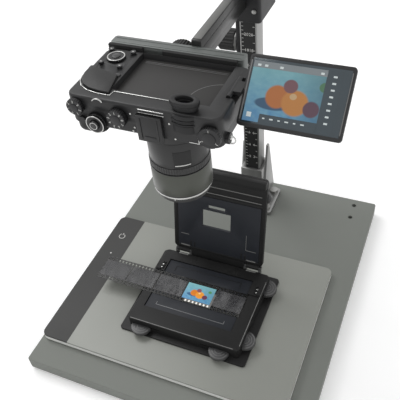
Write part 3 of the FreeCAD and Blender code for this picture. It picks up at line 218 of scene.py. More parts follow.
def picture_colour(tree, uv, shade):
    """Fruit on a blue cloth: a plain picture of the builder's own."""
    split = add_node(tree, "ShaderNodeSeparateXYZ")
    tree.links.new(uv, split.inputs["Vector"])
    across, upright = split.outputs["X"], split.outputs["Y"]
    ripple = noise(tree, uv, 9.0, 5.0)
    cloth = blend_colours(tree, spread(tree, upright, 0, 1, 0.0, 1.0), (0.04, 0.20, 0.46),
                          (0.18, 0.42, 0.44))
    colour = blend_colours(tree, spread(tree, ripple, 0, 0.5), cloth, (0.26, 0.50, 0.55))
    corner = spread(tree, across, 0, shade, 0.45, 1.0)
    colour = blend_colours(tree, corner, colour, (0.03, 0.09, 0.12))
    for centre, radius, tint in FRUITS:
        tint = tuple(part * (1 - shade / 2) for part in tint)
        colour = blend_colours(tree, disc_mask(tree, uv, centre, radius), colour, tint)
    haze = spread(tree, across, shade * 0.4, shade * 0.4, 0.0, 1.0)
    return blend_colours(tree, haze, colour, (0.05, 0.07, 0.08))


def picture_material(name, slot, glow, shade=0.2):
    mat, tree, shader = new_material(name, slot)
    uv = add_node(tree, "ShaderNodeTexCoord").outputs["UV"]
    colour = picture_colour(tree, uv, shade)
    tree.links.new(colour, shader.inputs["Base Color"])
    tree.links.new(colour, shader.inputs["Emission Color"])
    set_inputs(shader, {"Emission Strength": glow, "Roughness": 0.12})
    return mat


def opal_material():
    """Opal sheet that glows softly inside the gate's well."""
    mat = finish_of("opal_sheet", "opal_diffuser", (0.262, 0.27, 0.245), 0.38, grain=900, bump=0.15,
                    vary=0.04, patch=9)
    tree = mat.node_tree
    shader = tree.nodes["Principled BSDF"]
    gate = middle("stage_insert") * MM
    wide, tall = LIT_WELL
    vector = place_coords(tree, (1 / wide, 1 / tall, 0), (-gate.x / wide, -gate.y / tall, 0))
    lobes = add_node(tree, "ShaderNodeVectorMath", operation="ABSOLUTE")
    tree.links.new(vector, lobes.inputs[0])
    split = add_node(tree, "ShaderNodeSeparateXYZ")
    tree.links.new(lobes.outputs["Vector"], split.inputs["Vector"])
    reach = larger(tree, split.outputs["X"], split.outputs["Y"])
    tree.links.new(spread(tree, reach, 1.0, 0.0, 0.95, 1.02), shader.inputs["Emission Strength"])
    shader.inputs["Emission Color"].default_value = (1.0, 0.98, 0.92, 1)
    return mat


def film_material(name, see_through, tones):
    """Film: smoky, with cloudy grey pictures in it, and partly see-through."""
    mat, tree, shader = new_material(name, "film_base")
    vector = place_coords(tree, (1.0, 0.45, 1.0))
    cloud = noise(tree, vector, 120.0, 6.0, 0.7)
    big = noise(tree, vector, 20.0, 2.0)
    tone = blend_colours(tree, spread(tree, cloud, 0, 1, 0.35, 0.65), tones[0], tones[1])
    tone = blend_colours(tree, spread(tree, big, 0, 0.8, 0.4, 0.65), tone, tones[2])
    tree.links.new(tone, shader.inputs["Base Color"])
    set_inputs(shader, {"Roughness": 0.22, "Alpha": see_through})
    raise_surface(tree, shader, big, 0.1, 0.0002)
    return mat


def glass_material():
    mat, tree, shader = new_material("coated_glass", "lens_glass")
    vector = place_coords(tree)
    tint = blend_colours(tree, spread(tree, noise(tree, vector, 40, 1.0), 0, 1),
                         (0.02, 0.03, 0.05), (0.05, 0.03, 0.07))
    tree.links.new(tint, shader.inputs["Base Color"])
    set_inputs(shader, {"Roughness": 0.05, "Coat Weight": 1.0})
    return mat


FINISH = {
    "board": finish_of("grey_laminate", "board_laminate", (0.195, 0.205, 0.188), 0.62, grain=1400,
                       depth=0.00003, vary=0.04, patch=14, specular=0.3),
    "rubber": finish_of("soft_rubber", "soft_rubber", grey(0.012), 0.75, specular=0.3),
    "silver": finish_of("satin_aluminium", "silver_metal", (0.30, 0.30, 0.295), 0.38, grain=900,
                        metal=0.8, stretch=(4, 4, 0.15), vary=0.06, depth=0.00002),
    "bracket": finish_of("dark_bracket", "silver_metal", grey(0.03), 0.4, metal=0.5),
    "bolt": finish_of("zinc_steel", "bolt_steel", (0.34, 0.34, 0.33), 0.34, metal=1.0),
    "scale": finish_of("matt_black_scale", "scale_black", grey(0.012), 0.5,
                       specular=0.35),
    "black": finish_of("fine_black_plastic", "black_plastic", (0.012, 0.012, 0.0125), 0.42,
                       specular=0.4),
    "plate": finish_of("bright_plate_metal", "plate_silver", (0.9, 0.9, 0.88), 0.35, grain=800,
                       metal=0.1, stretch=(0.2, 4, 4), depth=0.00002, vary=0.04),
    "opal": opal_material(),
    "band": finish_of("dark_band", "control_band", (0.036, 0.036, 0.035), 0.5, bump=0.2, patch=12,
                      specular=0.3),
    "clear": finish_of("clear_guide", "clear_acrylic", (0.8, 0.85, 0.85), 0.1, vary=0.02),
    "board_green": finish_of("solder_mask", "circuit_board", (0.03, 0.12, 0.05), 0.4),
    "wrap": finish_of("battery_wrap", "battery_wrap", (0.05, 0.05, 0.07), 0.35),
    "holder": finish_of("satin_black_holder", "holder_black", grey(0.012), 0.46,
                        grain=1800, depth=0.00005, vary=0.15, specular=0.2),
    # holder_rule: lighter grey lines on the black holder, painted highlights along its edges and ribs
    "holder_rule": finish_of("holder_edge_highlight", "holder_black", (0.17, 0.17, 0.165), 0.4, vary=0.2),
    "insert": finish_of("blue_black_insert", "insert_black", (0.02, 0.022, 0.027), 0.5,
                        grain=2200, vary=0.10, specular=0.2),
    # insert_rule: lighter grey, a painted highlight along the insert's front edge
    "insert_rule": finish_of("insert_edge_highlight", "insert_black", (0.15, 0.155, 0.16), 0.4, vary=0.2),
    "grip": finish_of("grey_grip", "grip_grey", (0.05, 0.05, 0.051), 0.42, vary=0.1),
    # grip_rule: raised bows are drawn, their lighter grey is painted crescent highlight
    "grip_rule": finish_of("grip_ridge_highlight", "grip_grey", grey(0.13), 0.4, vary=0.2),
    "carriage": finish_of("textured_black", "carriage_black", (0.014, 0.014, 0.015), 0.5,
                          grain=1500, depth=0.00008, specular=0.35),
    "glide": finish_of("white_glide", "glide_plastic", (0.6, 0.6, 0.58), 0.5),
    "arm": finish_of("satin_grey_arm", "arm_grey", grey(0.03), 0.3, metal=0.5),
    "rail": finish_of("grey_anodised_rail", "rail_grey", (0.13, 0.14, 0.135), 0.42, metal=0.35,
                      stretch=(0.2, 4, 4), grain=900, vary=0.08),
    "camera": finish_of("textured_camera_black", "camera_black", (0.012, 0.012, 0.0125), 0.46,
                        grain=2600, depth=0.00006, vary=0.15, specular=0.4),
    "recess": finish_of("smooth_recess_grey", "camera_black", (0.034, 0.033, 0.032), 0.6,
                        vary=0.06, patch=18, specular=0.3),
    # camera_rule: lighter grey lines; on the screen's side edges they are painted highlights
    "camera_rule": finish_of("camera_edge", "camera_black", grey(0.12), 0.4, vary=0.2),
    "leather": finish_of("grained_cover", "grip_leather", grey(0.012), 0.5, grain=900,
                         depth=0.0002, bump=0.8, vary=0.25, specular=0.35),
    "lens": finish_of("satin_lens_black", "lens_black", grey(0.013), 0.36, vary=0.1,
                      specular=0.45),
    "lens_band": finish_of("grey_green_band", "lens_black", (0.062, 0.066, 0.055), 0.34,
                           metal=0.3, vary=0.06, patch=12),
    "chrome": finish_of("bright_ring", "silver_metal", (0.52, 0.52, 0.51), 0.24, metal=0.95,
                        vary=0.08),
    "glass": glass_material(),
    "knob": finish_of("matt_knob", "knob_black", grey(0.013), 0.5, vary=0.2,
                      specular=0.4),
    "knob_plate": finish_of("grey_facets", "carriage_black", (0.14, 0.14, 0.135), 0.4, metal=0.4),
    "dial": finish_of("black_dial", "dial_metal", (0.02, 0.02, 0.021), 0.32, metal=0.4),
    "key": finish_of("smooth_key", "key_black", (0.02, 0.02, 0.021), 0.3),
    "eyecup": finish_of("eyecup_rubber", "eyecup_rubber", (0.012, 0.012, 0.0125), 0.6,
                        specular=0.35),
    # White print; on the keys the same white paints small highlights.
    "white": finish_of("white_print_and_highlight", "scale_black", (0.62, 0.62, 0.6), 0.6, vary=0.05),
    "film_edge": film_material("film_edge", 0.62, ((0.012, 0.012, 0.01), (0.03, 0.03, 0.028),
                                                   grey(0.02))),
    "film_frames": film_material("film_frames", 0.5, ((0.045, 0.045, 0.05), (0.26, 0.26, 0.265),
                                                      (0.08, 0.08, 0.085))),
    # The gate picture glows: painted backlight standing in for the plate's light through the film.
    "slide": picture_material("lit_picture", "film_base", 0.3),
    "display": picture_material("display_picture", "screen_picture", 0.05, shade=0.75),
    "mark": glowing("display_marks", "screen_picture", (0.5, 0.55, 0.55), 0.12),
    "bar": glowing("display_bar", "screen_picture", (0.16, 0.18, 0.19), 0.1),
    "veil": finish_of("display_margin", "screen_picture", (0.02, 0.035, 0.045), 0.1, vary=0.2,
                      coat=0.4),
}

# Finish of the nodes that are carried over or rounded off.
NODES_BY_FINISH = {
    "board": "baseboard",
    "rubber": "board_feet light_feet rail_pad",
    "silver": "column column_foot",
    "bolt": "foot_bolts hinge_pins",
    "scale": "column_scale",
    "black": "column_cap power_socket hot_shoe_cover screen_hinge",
    "plate": "light_housing",
    "opal": "light_diffuser",
    "band": "control_strip",
    "clear": "light_guide",
    "board_green": "led_strip sensor_unit",
    "wrap": "battery_pack",
    "holder": "holder_base_plate film_stage mask_tray film_guides lid_frame lid_front_bar",
    "insert": "stage_insert lid_insert",
    "bracket": "hinge_brackets",
    "grip": "left_mask right_mask front_mask back_mask lid_latch",
    "film_frames": "film_strip",
    "carriage": "carriage_housing",
    "glide": "glide_pads",
    "arm": "camera_arm",
    "rail": "camera_rail",
    "camera": "camera_rear_shell camera_front_shell screen_housing",
    "leather": "grip_cover",
    "lens": "lens_barrel focus_ring",
    "glass": "lens_glass",
    "knob": "clamp_knob tripod_knob",
    "dial": "mode_dial release_dial exposure_dial drive_dial rear_dial",
    "chrome": "shutter_button",
    "key": "play_button menu_button info_button zoom_button",
    "eyecup": "eyecup",
    "veil": "screen_glass",
}
NODE_FINISH = {node: finish for finish, nodes in NODES_BY_FINISH.items() for node in nodes.split()}


def paint_nodes():
    for name, node in frame["nodes"].items():
        node.data.materials.clear()
        node.data.materials.append(FINISH[NODE_FINISH[name]])


# Shapes


def add_object(name, data):
    """Object of a mesh, text, lamp or camera, linked to the scene."""
    item = bpy.data.objects.new(name, data)
    bpy.context.scene.collection.objects.link(item)
    return item


def mesh_from(name, part):
    mesh = bpy.data.meshes.new(name)
    part.to_mesh(mesh)
    part.free()
    return mesh


def only_verts(geometry):
    return [item for item in geometry if isinstance(item, bmesh.types.BMVert)]


def raise_faces(part, faces, height):
    """Extrude flat faces upward into a closed sheet."""
    moved = bmesh.ops.extrude_face_region(part, geom=faces)
    bmesh.ops.translate(part, vec=(0, 0, height), verts=only_verts(moved["geom"]))
    bmesh.ops.recalc_face_normals(part, faces=part.faces)


def join_into(target, part, place, matrix=None):
    """Put a small mesh, moved to its place, into a larger one."""
    bmesh.ops.transform(part, matrix=matrix @ place if matrix else place, verts=part.verts)
    mesh = mesh_from("part", part)
    target.from_mesh(mesh)
    bpy.data.meshes.remove(mesh)


def soft_edges(part, width, sharp=30):
    """Bevel every edge that turns by more than an angle."""
    edges = [e for e in part.edges if len(e.link_faces) == 2
             and e.calc_face_angle(0) > math.radians(sharp)]
    if width and edges:
        bmesh.ops.bevel(part, geom=edges, offset=width, offset_type="OFFSET", affect="EDGES",
                        segments=2, profile=0.5, material=-1, clamp_overlap=True)


def stand_on(start, axis):
    return Matrix.Translation(Vector(start)) @ TURNS[axis]


def add_box(target, size, centre, edge=0.3, matrix=None):
    part = bmesh.new()
    bmesh.ops.create_cube(part, size=1.0, matrix=Matrix.Diagonal((*size, 1)))
    soft_edges(part, edge)
    join_into(target, part, Matrix.Translation(Vector(centre)), matrix)


def add_rod(target, radius, height, start, axis="z", edge=0.3, sides=48, end_radius=None,
            matrix=None):
    """Round, faceted or tapered rod from a start point along an axis."""
    part = bmesh.new()
    top = radius if end_radius is None else end_radius
    bmesh.ops.create_cone(part, cap_ends=True, segments=sides, radius1=radius, radius2=top,
                          depth=height, matrix=Matrix.Translation((0, 0, height / 2)))
    faceted = sides <= 12
    soft_edges(part, edge, sharp=20 if faceted else 50)
    join_into(target, part, stand_on(start, axis), matrix)


def add_ring(target, inner, outer, height, start, axis="z", edge=0.3, sides=64, matrix=None,
             arc=360.0, begin=0.0):
    """Flat band round an axis, or part of one."""
    part = bmesh.new()
    corners = [part.verts.new(p) for p in ((inner, 0, 0), (outer, 0, 0), (outer, 0, height),
                                           (inner, 0, height))]
    outline = part.faces.new(corners)
    whole = arc >= 360.0
    bmesh.ops.rotate(part, verts=part.verts, matrix=Matrix.Rotation(math.radians(begin), 3, "Z"))
    edges = list(outline.edges)
    geometry = edges if whole else [outline] + edges + corners
    bmesh.ops.spin(part, geom=geometry, cent=(0, 0, 0), axis=(0, 0, 1), angle=math.radians(arc),
                   steps=sides, use_merge=whole)
    if whole:
        bmesh.ops.delete(part, geom=[outline], context="FACES_ONLY")
    bmesh.ops.remove_doubles(part, verts=part.verts, dist=0.001)
    bmesh.ops.recalc_face_normals(part, faces=part.faces)
    soft_edges(part, edge, sharp=50)
    join_into(target, part, stand_on(start, axis), matrix)


def add_knurled(target, radius, height, ribs, depth, start, axis="z", edge=0.5):
    """Wheel with grooves along its rim and softened ends."""
    part = bmesh.new()
    bmesh.ops.create_circle(part, cap_ends=True, segments=4 * ribs, radius=radius - edge)

    def grow(base_face, rise, reach, grooved):
        moved = bmesh.ops.extrude_face_region(part, geom=[base_face])["geom"]
        for vert in only_verts(moved):
            turn = math.atan2(vert.co.y, vert.co.x) / math.tau * 4 * ribs
            groove = depth if grooved and int(round(turn)) % 4 in (0, 1) else 0.0
            length = math.hypot(vert.co.x, vert.co.y)
            vert.co.x *= (reach - groove) / length
            vert.co.y *= (reach - groove) / length
            vert.co.z += rise
        return next(f for f in moved if isinstance(f, bmesh.types.BMFace))

    face = grow(next(iter(part.faces)), edge, radius, True)
    face = grow(face, height - 2 * edge, radius, True)
    grow(face, edge, radius - edge, False)
    bmesh.ops.recalc_face_normals(part, faces=part.faces)
    join_into(target, part, stand_on(start, axis))


def add_text(target, text, size, matrix, depth=0.12):
    """Digits as a thin solid, centred on the origin before they are placed."""
    curve = bpy.data.curves.new("digits", "FONT")
    curve.body = text
    curve.size = size
    curve.extrude = depth / 2
    curve.resolution_u = 2
    curve.align_x = "CENTER"
    curve.align_y = "CENTER"
    holder = add_object("digits", curve)
    graph = bpy.context.evaluated_depsgraph_get()
    mesh = bpy.data.meshes.new_from_object(holder.evaluated_get(graph))
    part = bmesh.new()
    part.from_mesh(mesh)
    bpy.data.meshes.remove(mesh)
    bpy.data.objects.remove(holder)
    bpy.data.curves.remove(curve)
    join_into(target, part, matrix)


def add_plate(target, outline, base, height, edge):
    """Flat plate from its outline seen from above."""
    part = bmesh.new()
    face = part.faces.new([part.verts.new((x, y, 0)) for x, y in outline])
    raise_faces(part, [face], height)
    soft_edges(part, edge)
    join_into(target, part, Matrix.Translation((0, 0, base)))


def add_line(target, points, z, width, height=0.5):
    """Thin raised line through points seen from above."""
    for first, last in zip(points, points[1:]):
        run = Vector(last) - Vector(first)
        place = (Matrix.Translation((*((Vector(first) + Vector(last)) / 2), z))
                 @ Matrix.Rotation(math.atan2(run.y, run.x), 4, "Z"))
        add_box(target, (run.length + width * 0.6, width, height), (0, 0, 0), width / 4, place)


def make_piece(name, body, finish, part, stands_for=()):
    """Turn a mesh in millimetres into a named piece that rides on a body."""
    bmesh.ops.remove_doubles(part, verts=part.verts, dist=0.0005)
    bmesh.ops.scale(part, vec=(MM, MM, MM), verts=part.verts)
    mesh = mesh_from(name, part)
    mesh.materials.append(FINISH[finish])
    mesh.polygons.foreach_set("use_smooth", [True] * len(mesh.polygons))
    mesh.set_sharp_from_angle(angle=math.radians(32))
    piece = add_object(name, mesh)
    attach(piece, body)
    if stands_for:
        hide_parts(*stands_for)


def make_one(name, body, finish, add, *sizes, stands_for=(), **options):
    """Piece of one shape, which add puts into its mesh."""
    part = bmesh.new()
    add(part, *sizes, **options)
    make_piece(name, body, finish, part, stands_for)


def body_of(node):
    bodies = frame["record"]["behaviour"]["bodies"]
    return next(body for body, names in bodies.items() if node in names)


def soften(node, width):
    """A copy of a CAD node with its sharp edges rounded, shown in its place."""
    part = bmesh.new()
    part.from_mesh(frame["nodes"][node].data)
    bmesh.ops.scale(part, vec=(1 / MM,) * 3, verts=part.verts)
    bmesh.ops.remove_doubles(part, verts=part.verts, dist=0.002)
    bmesh.ops.dissolve_limit(part, angle_limit=math.radians(0.5), verts=part.verts,
                             edges=part.edges)
    soft_edges(part, width, sharp=40)
    make_piece(node + "_soft", body_of(node), NODE_FINISH[node], part, stands_for=(node,))


SOFT_NODES = {
    "holder_base_plate": 0.4, "film_stage": 0.5, "stage_insert": 0.4, "left_mask": 0.3,
    "right_mask": 0.3, "front_mask": 0.3, "back_mask": 0.3, "lid_frame": 0.5, "lid_insert": 0.3,
    "lid_front_bar": 0.6, "lid_latch": 0.5, "column": 0.5, "column_foot": 0.5,
    "camera_arm": 1.2, "camera_rail": 0.8, "rail_pad": 0.4, "hot_shoe_cover": 0.5,
    "screen_housing": 0.5, "camera_rear_shell": 0.4, "carriage_housing": 0.5,
    "hinge_brackets": 0.3,
}


def soften_nodes():
    for name, width in SOFT_NODES.items():
        soften(name, width)


# Light plate


def make_plate_marks():
    """Touch key's ring and pointer, and its small lamp."""
    low, high = extent("control_strip")
    x, key_y, lamp_y = low.x + 18, high.y - 35, high.y - 67
    base = high.z - SUNK
    part = bmesh.new()
    add_ring(part, 3.6, 4.4, INK, (x, key_y, base), edge=0, sides=40, arc=300, begin=120)
    add_box(part, (0.9, 3.4, INK), (x, key_y + 4, base + INK / 2), edge=0)
    add_rod(part, 1.1, INK, (x, lamp_y, base), edge=0, sides=24)
    make_piece("touch_key_print", "stand", "white", part)


# Film holder


def joint_place(name, limit):
    """Matrix from a panel drawn flat, with its joint at the origin, to its place."""
    joint = next(j for j in frame["joints"] if j["name"] == name)
    lean = math.radians(joint["range_deg"][limit])
    return Matrix.Translation(Vector(joint["pos_m"]) / MM) @ Matrix.Rotation(-lean, 4, "X")


def make_stage_details():
    """Thin rules on the insert, the front one a painted highlight, and painted highlights along the bright edges
    of the stage.
    """
    x, y, _ = middle("stage_insert")
    top = extent("stage_insert")[1].z + 0.1
    left, right, front, back = x - 43, x + 43, y - 31, y + 31
    # The insert's front rule is lighter grey: a painted highlight on its front edge. The back rule is black.
    make_one("insert_front_rule", "stand", "insert_rule", add_line,
             [(left, front + 4), (left, front), (right, front), (right, front + 4)], top, 0.8)
    make_one("insert_back_rule", "stand", "holder", add_line,
             [(left, back - 8), (left, back), (right, back), (right, back - 8)], top, 0.6)
    low, high = extent("film_stage")
    front, side, ridge = low.y + 1.2, high.x - 1.2, high.z - 0.08
    # Lighter lines along the stage's front and right side: painted highlights on its edges.
    part = bmesh.new()
    add_line(part, [(low.x + 4, front), (high.x - 7, front)], ridge, 0.8, 0.4)
    add_line(part, [(side, low.y + 7), (side, high.y - 12)], ridge, 0.8, 0.4)
    make_piece("stage_rules", "stand", "holder_rule", part)


def make_guide_combs():
    """Toothed comb and two pins at either end of the stage."""
    low, high = extent("film_stage")
    gate_y = middle("stage_insert").y
    combs = bmesh.new()
    pins = bmesh.new()
    for side, x in ((-1, low.x + 8.5), (1, high.x - 8.5)):
        for tooth in range(5):
            add_box(combs, (2.2, 1.1, 1.4), (x, gate_y + 21.5 + 2.3 * tooth, high.z + 0.6), 0.2)
        add_box(combs, (1.2, 12.5, 1.0), (x + side * 2.4, gate_y + 26.1, high.z + 0.4), 0.2)
        for pin in (0, 1):
            add_rod(pins, 0.9, 0.7, (x + side * 1.2, gate_y + 22 + 4.6 * pin, high.z + 0.7),
                    edge=0.2, sides=16)
    make_piece("guide_combs", "stand", "holder", combs)
    make_piece("guide_pins", "stand", "chrome", pins)


def make_hinge_trim():
    """Bars, ribs and rings along the stage's hinge side, all clear of the closed lid."""
    _, back, top = extent("film_stage")[1]
    part = bmesh.new()
    # The bars are lighter grey: painted highlights along the stage's hinge side.
    for x in (-43, 47.5):
        add_box(part, (12.5, 1.8, 1.0), (x, back - 1.4, top - 0.38), 0.1)
    make_piece("hinge_bars", "stand", "holder_rule", part)
    part = bmesh.new()
    for x in (-28, -24, 29, 33):
        add_box(part, (1.6, 9.0, 0.5), (x, back - 7.5, top - 0.13), 0.1)
    for x in (-22, 20):
        add_ring(part, 2.2, 3.2, 0.4, (x, back - 9, top - 0.28), edge=0.1, sides=24)
    make_piece("stage_ribs", "stand", "holder", part)


def make_grip_ridges():
    """Raised bows on the half round grips of the masks, their lighter grey a painted crescent highlight."""
    for name in ("left_mask", "right_mask", "front_mask", "back_mask"):
        front = name in ("left_mask", "right_mask")
        place = (*grip_centre(name, front), extent(name)[1].z - 0.1)
        part = bmesh.new()
        for radius in (5, 8, 11):
            add_ring(part, radius - 0.7, radius, 0.45, place, edge=0.15, sides=20, arc=150,
                     begin=195 if front else 285)
        make_piece(name + "_ridges", name, "grip_rule", part)


def grip_centre(name, front):
    """Centre of a mask's half round grip, on its front end or on its right-hand one."""
    low, high = extent(name)
    rim, radius = 4, 12
    points = [v.co / MM for v in frame["nodes"][name].data.vertices]
    if front:
        along = [p.x for p in points if p.y < low.y + rim]
    else:
        along = [p.y for p in points if p.x > high.x - rim]
    centre = (min(along) + max(along)) / 2
    return (centre, low.y + radius) if front else (high.x - radius, centre)


def make_lid_details():
    """Rules, bands and apron on the side of the lid that faces the film; its lighter rules and hinge leaves are
    painted highlights.

    They are drawn with the lid closed, its hinge at x and y of 0 and its inner
    face at z of 0, and stay clear of the stage."""
    place = joint_place("lid_hinge", 1) @ Matrix.Translation((0, 0, LID_INNER))
    part = bmesh.new()
    # Lighter rules: painted highlights on the lid's ribs and edges.
    for size, centre in (((11, 0.7, 0.5), (-44, -27, 0.1)), ((13, 0.7, 0.5), (43, -24, 0.1)),
                         ((0.5, 22, 0.5), (36.5, -35, 0.1)), ((106, 0.9, 0.6), (0, -94.5, 0.15)),
                         ((106, 0.9, 0.6), (0, -103.5, 0.15))):
        add_box(part, size, centre, 0.1, place)
    make_piece("lid_rules", "lid", "holder_rule", part)
    part = bmesh.new()
    for size, centre in (((108, 2.4, 0.8), (0, -98.5, 0.25)), ((108, 2.4, 0.8), (0, -108, 0.25)),
                         ((112, 3.2, 2.2), (0, -90.2, 0.95))):
        add_box(part, size, centre, 0.1, place)
    make_piece("lid_bands", "lid", "holder", part)
    part = bmesh.new()
    for x in (-36, -31, 31, 36):
        add_box(part, (1.8, 8.0, 0.9), (x, -13.5, 0.3), 0.1, place)
    add_box(part, (72, 18, 1.0), (0, -2.5, 0.6), 0.3, place)
    make_piece("lid_apron", "lid", "holder", part)
    part = bmesh.new()
    # Lighter hinge leaves: painted highlights.
    for x in (-43.5, 43.5):
        add_box(part, (12, 1.6, 0.8), (x, -9.5, 0.25), 0.1, place)
    make_piece("lid_hinge_leaves", "lid", "holder_rule", part)


def make_film():
    """Film strip with its perforations cut through."""
    low, high = extent("film_strip")
    pitch, hole, margin, across = 4.75, 2.0, 1.9, 2.6
    xs = [low.x]
    for step in range(int((high.x - low.x) / pitch)):
        start = low.x + step * pitch + (pitch - hole) / 2
        xs += [start, start + hole]
    xs.append(high.x)
    ys = [low.y, low.y + margin, low.y + margin + across, high.y - margin - across,
          high.y - margin, high.y]
    part = bmesh.new()
    bmesh.ops.create_grid(part, x_segments=len(xs) - 1, y_segments=len(ys) - 1, size=1.0)
    for vert in part.verts:
        column = round((vert.co.x + 1) / 2 * (len(xs) - 1))
        row = round((vert.co.y + 1) / 2 * (len(ys) - 1))
        vert.co = (xs[column], ys[row], low.z + 0.05)
    holes = []
    for face in part.faces:
        centre = face.calc_center_median()
        column = sum(x < centre.x for x in xs) - 1
        row = sum(y < centre.y for y in ys) - 1
        if column % 2 == 1 and row in (1, 3):
            holes.append(face)
    bmesh.ops.delete(part, geom=holes, context="FACES")
    raise_faces(part, list(part.faces), 0.1)
    make_piece("film_edges", "film_strip", "film_edge", part, stands_for=("film_strip",))


def make_film_pictures():
    """Grey pictures along the film, and the lit one in the gate."""
    base = extent("film_strip")[0].z
    x, y, _ = middle("stage_insert")
    part = bmesh.new()
    for number in (-3, -2, -1, 1):
        add_box(part, (*PICTURE, 0.06), (x + PICTURE_STEP * number, y, base + 0.18), edge=0)
    make_piece("film_pictures", "film_strip", "film_frames", part)
    # Its glow is painted backlight from the light plate below.
    make_picture("gate_picture", "film_strip", "slide", Matrix.Translation((x, y, base + 0.16)),
                 PICTURE)


def make_picture(name, body, finish, matrix, size):
    """Thin sheet whose upper side carries a picture from corner to corner."""
    part = bmesh.new()
    bmesh.ops.create_grid(part, x_segments=1, y_segments=1, size=0.5)
    layer = part.loops.layers.uv.new("UVMap")
    raise_faces(part, list(part.faces), 0.08)
    for face in part.faces:
        for loop in face.loops:
            loop[layer].uv = (loop.vert.co.x + 0.5, loop.vert.co.y + 0.5)
    bmesh.ops.transform(part, matrix=matrix @ Matrix.Diagonal((*size, 1, 1)), verts=part.verts)
    make_piece(name, body, finish, part)


# Column and carriage


def make_scale_print():
    """Ticks on both sides of the scale and a number every two centimetres."""
    low, high = extent("column_scale")
    face, pitch, reach = low.y - SUNK, 5, 8.0
    upright = Matrix.Rotation(math.pi / 2, 4, "X")
    part = bmesh.new()
    for step in range(1, int((high.z - low.z - 4) / pitch)):
        z = low.z + pitch * step
        numbered = step % 4 == 0
        length = 4.2 if numbered else 2.2
        for side in (-1, 1) if step % 2 == 0 else (-1,):
            add_box(part, (length, 0.12, 0.55), (side * (reach - length / 2), face, z), 0)
        for x in (-2.2, 3.4) if numbered else ():
            add_text(part, str(step // 2), 5.4, Matrix.Translation((x, face, z)) @ upright)
    make_piece("scale_print", "stand", "white", part)


def make_clamp():
    """Knurled clamp knob with a narrower end, and its faceted boss."""
    low, high, (_, y, z) = measure("clamp_knob")
    radius, nose, shaft = (high.z - low.z) / 2, 4.0, 7.6
    rim = high.x - shaft
    part = bmesh.new()
    add_knurled(part, radius, rim - nose - low.x, 20, 0.9, (rim, y, z), "-x", 1.2)
    add_rod(part, radius - 2, nose, (low.x + nose, y, z), "-x", 1.0, end_radius=radius - 3.4)
    add_rod(part, 3, shaft + 1, (rim - 1, y, z), "x", 0.2, 24)
    make_piece("clamp_grip", "clamp_knob", "knob", part, stands_for=("clamp_knob",))
    make_one("clamp_facets", "carriage", "knob_plate", add_rod, radius, 3.0, (rim + 3.3, y, z),
             "-x", 0.5, 8)


def make_carriage_screws():
    """Four screws on the carriage's front, each with its socket."""
    low, high = extent("carriage_housing")
    head = 1.4
    part = bmesh.new()
    for x in (-14, 14):
        for z in (high.z - 12, high.z - 42):
            add_rod(part, 2.6, head, (x, low.y, z), "-y", 0.3, 24)
            add_rod(part, 1.3, 0.4, (x, low.y - head, z), "-y", 0, 6)
    make_piece("carriage_screws", "carriage", "bolt", part)


def make_arm_details():
    """Grey strip on the arm's upper side and a rib along each flank."""
    low, high, (x, y, z) = measure("camera_arm")
    length = high.y - low.y - 6
    make_one("arm_strip", "carriage", "knob_plate", add_box, (high.x - low.x - 1.6, length, 0.5),
             (x, y, high.z + 0.1), 0.2)
    part = bmesh.new()
    for flank in (low.x, high.x):
        add_box(part, (0.8, length, 10), (flank, y, z))
    make_piece("arm_ribs", "carriage", "arm", part)


def make_rail_details():
    """Two beads along the rail's upper side and one on its front."""
    low, high, (x, _, _) = measure("camera_rail")
    length = high.x - low.x - 5
    part = bmesh.new()
    for inset in (2.6, 9.6):
        add_box(part, (length, 1.2, 0.8), (x, low.y + inset, high.z + 0.1))
    add_box(part, (length, 0.6, 3.0), (x, low.y - 0.1, high.z - 3.5), 0.2)
    make_piece("rail_beads", "carriage", "rail", part)


def make_tripod_wheel():
    low, high, (x, _, z) = measure("tripod_knob")
    radius, grip = (high.x - low.x) / 2, 20
    rim = high.y - grip
    part = bmesh.new()
    add_knurled(part, radius, grip, 34, 0.8, (x, high.y, z), "-y", 1.0)
    add_rod(part, 3.1, rim + 1 - low.y, (x, rim + 1, z), "-y", 0.2, 24)
    add_rod(part, radius * 0.6, 0.5, (x, high.y - 0.4, z), "y", 0.2)
    make_piece("tripod_wheel", "tripod_knob", "knob", part, stands_for=("tripod_knob",))


# Camera


def make_dial_print(node, labels, radius):
    """Plain numbers round a dial's face."""
    x, _, z = middle(node)
    face = stand_on((x, extent(node)[0].y + 0.3, z), "-y")
    part = bmesh.new()
    for index, label in enumerate(labels):
        turn = Matrix.Rotation(math.tau * index / len(labels), 4, "Z")
        add_text(part, label, 3.6, face @ turn @ Matrix.Translation((0, radius, 0.04)), 0.1)
    make_piece(node + "_print", node, "white", part)


def make_dial(node, radius, height, ribs, labels="", cap=0.5, ring=None):
    """Knurled wheel on its shaft, with a cap or a hollow for a button, and its numbers."""
    low, high, (x, _, z) = measure(node)
    rim = low.y + height
    part = bmesh.new()
    if ring:
        lip = height * 0.45
        add_knurled(part, radius, height - lip, ribs, DIAL_GROOVE, (x, rim, z), "-y", 0.4)
        add_ring(part, ring + 0.05, radius - 0.8, lip, (x, low.y + lip, z), "-y", 0.5)
    else:
        add_knurled(part, radius, height - 0.4, ribs, DIAL_GROOVE, (x, rim, z), "-y", 0.5)
        add_rod(part, radius * cap, 0.45, (x, low.y + 0.42, z), "-y", 0.15)
    add_rod(part, 2.0, high.y - rim + 0.5, (x, rim - 0.5, z), "y", 0.1, 24)
    make_piece(node + "_wheel", node, "dial", part, stands_for=(node,))
    if labels:
        make_dial_print(node, labels, radius * 0.75)


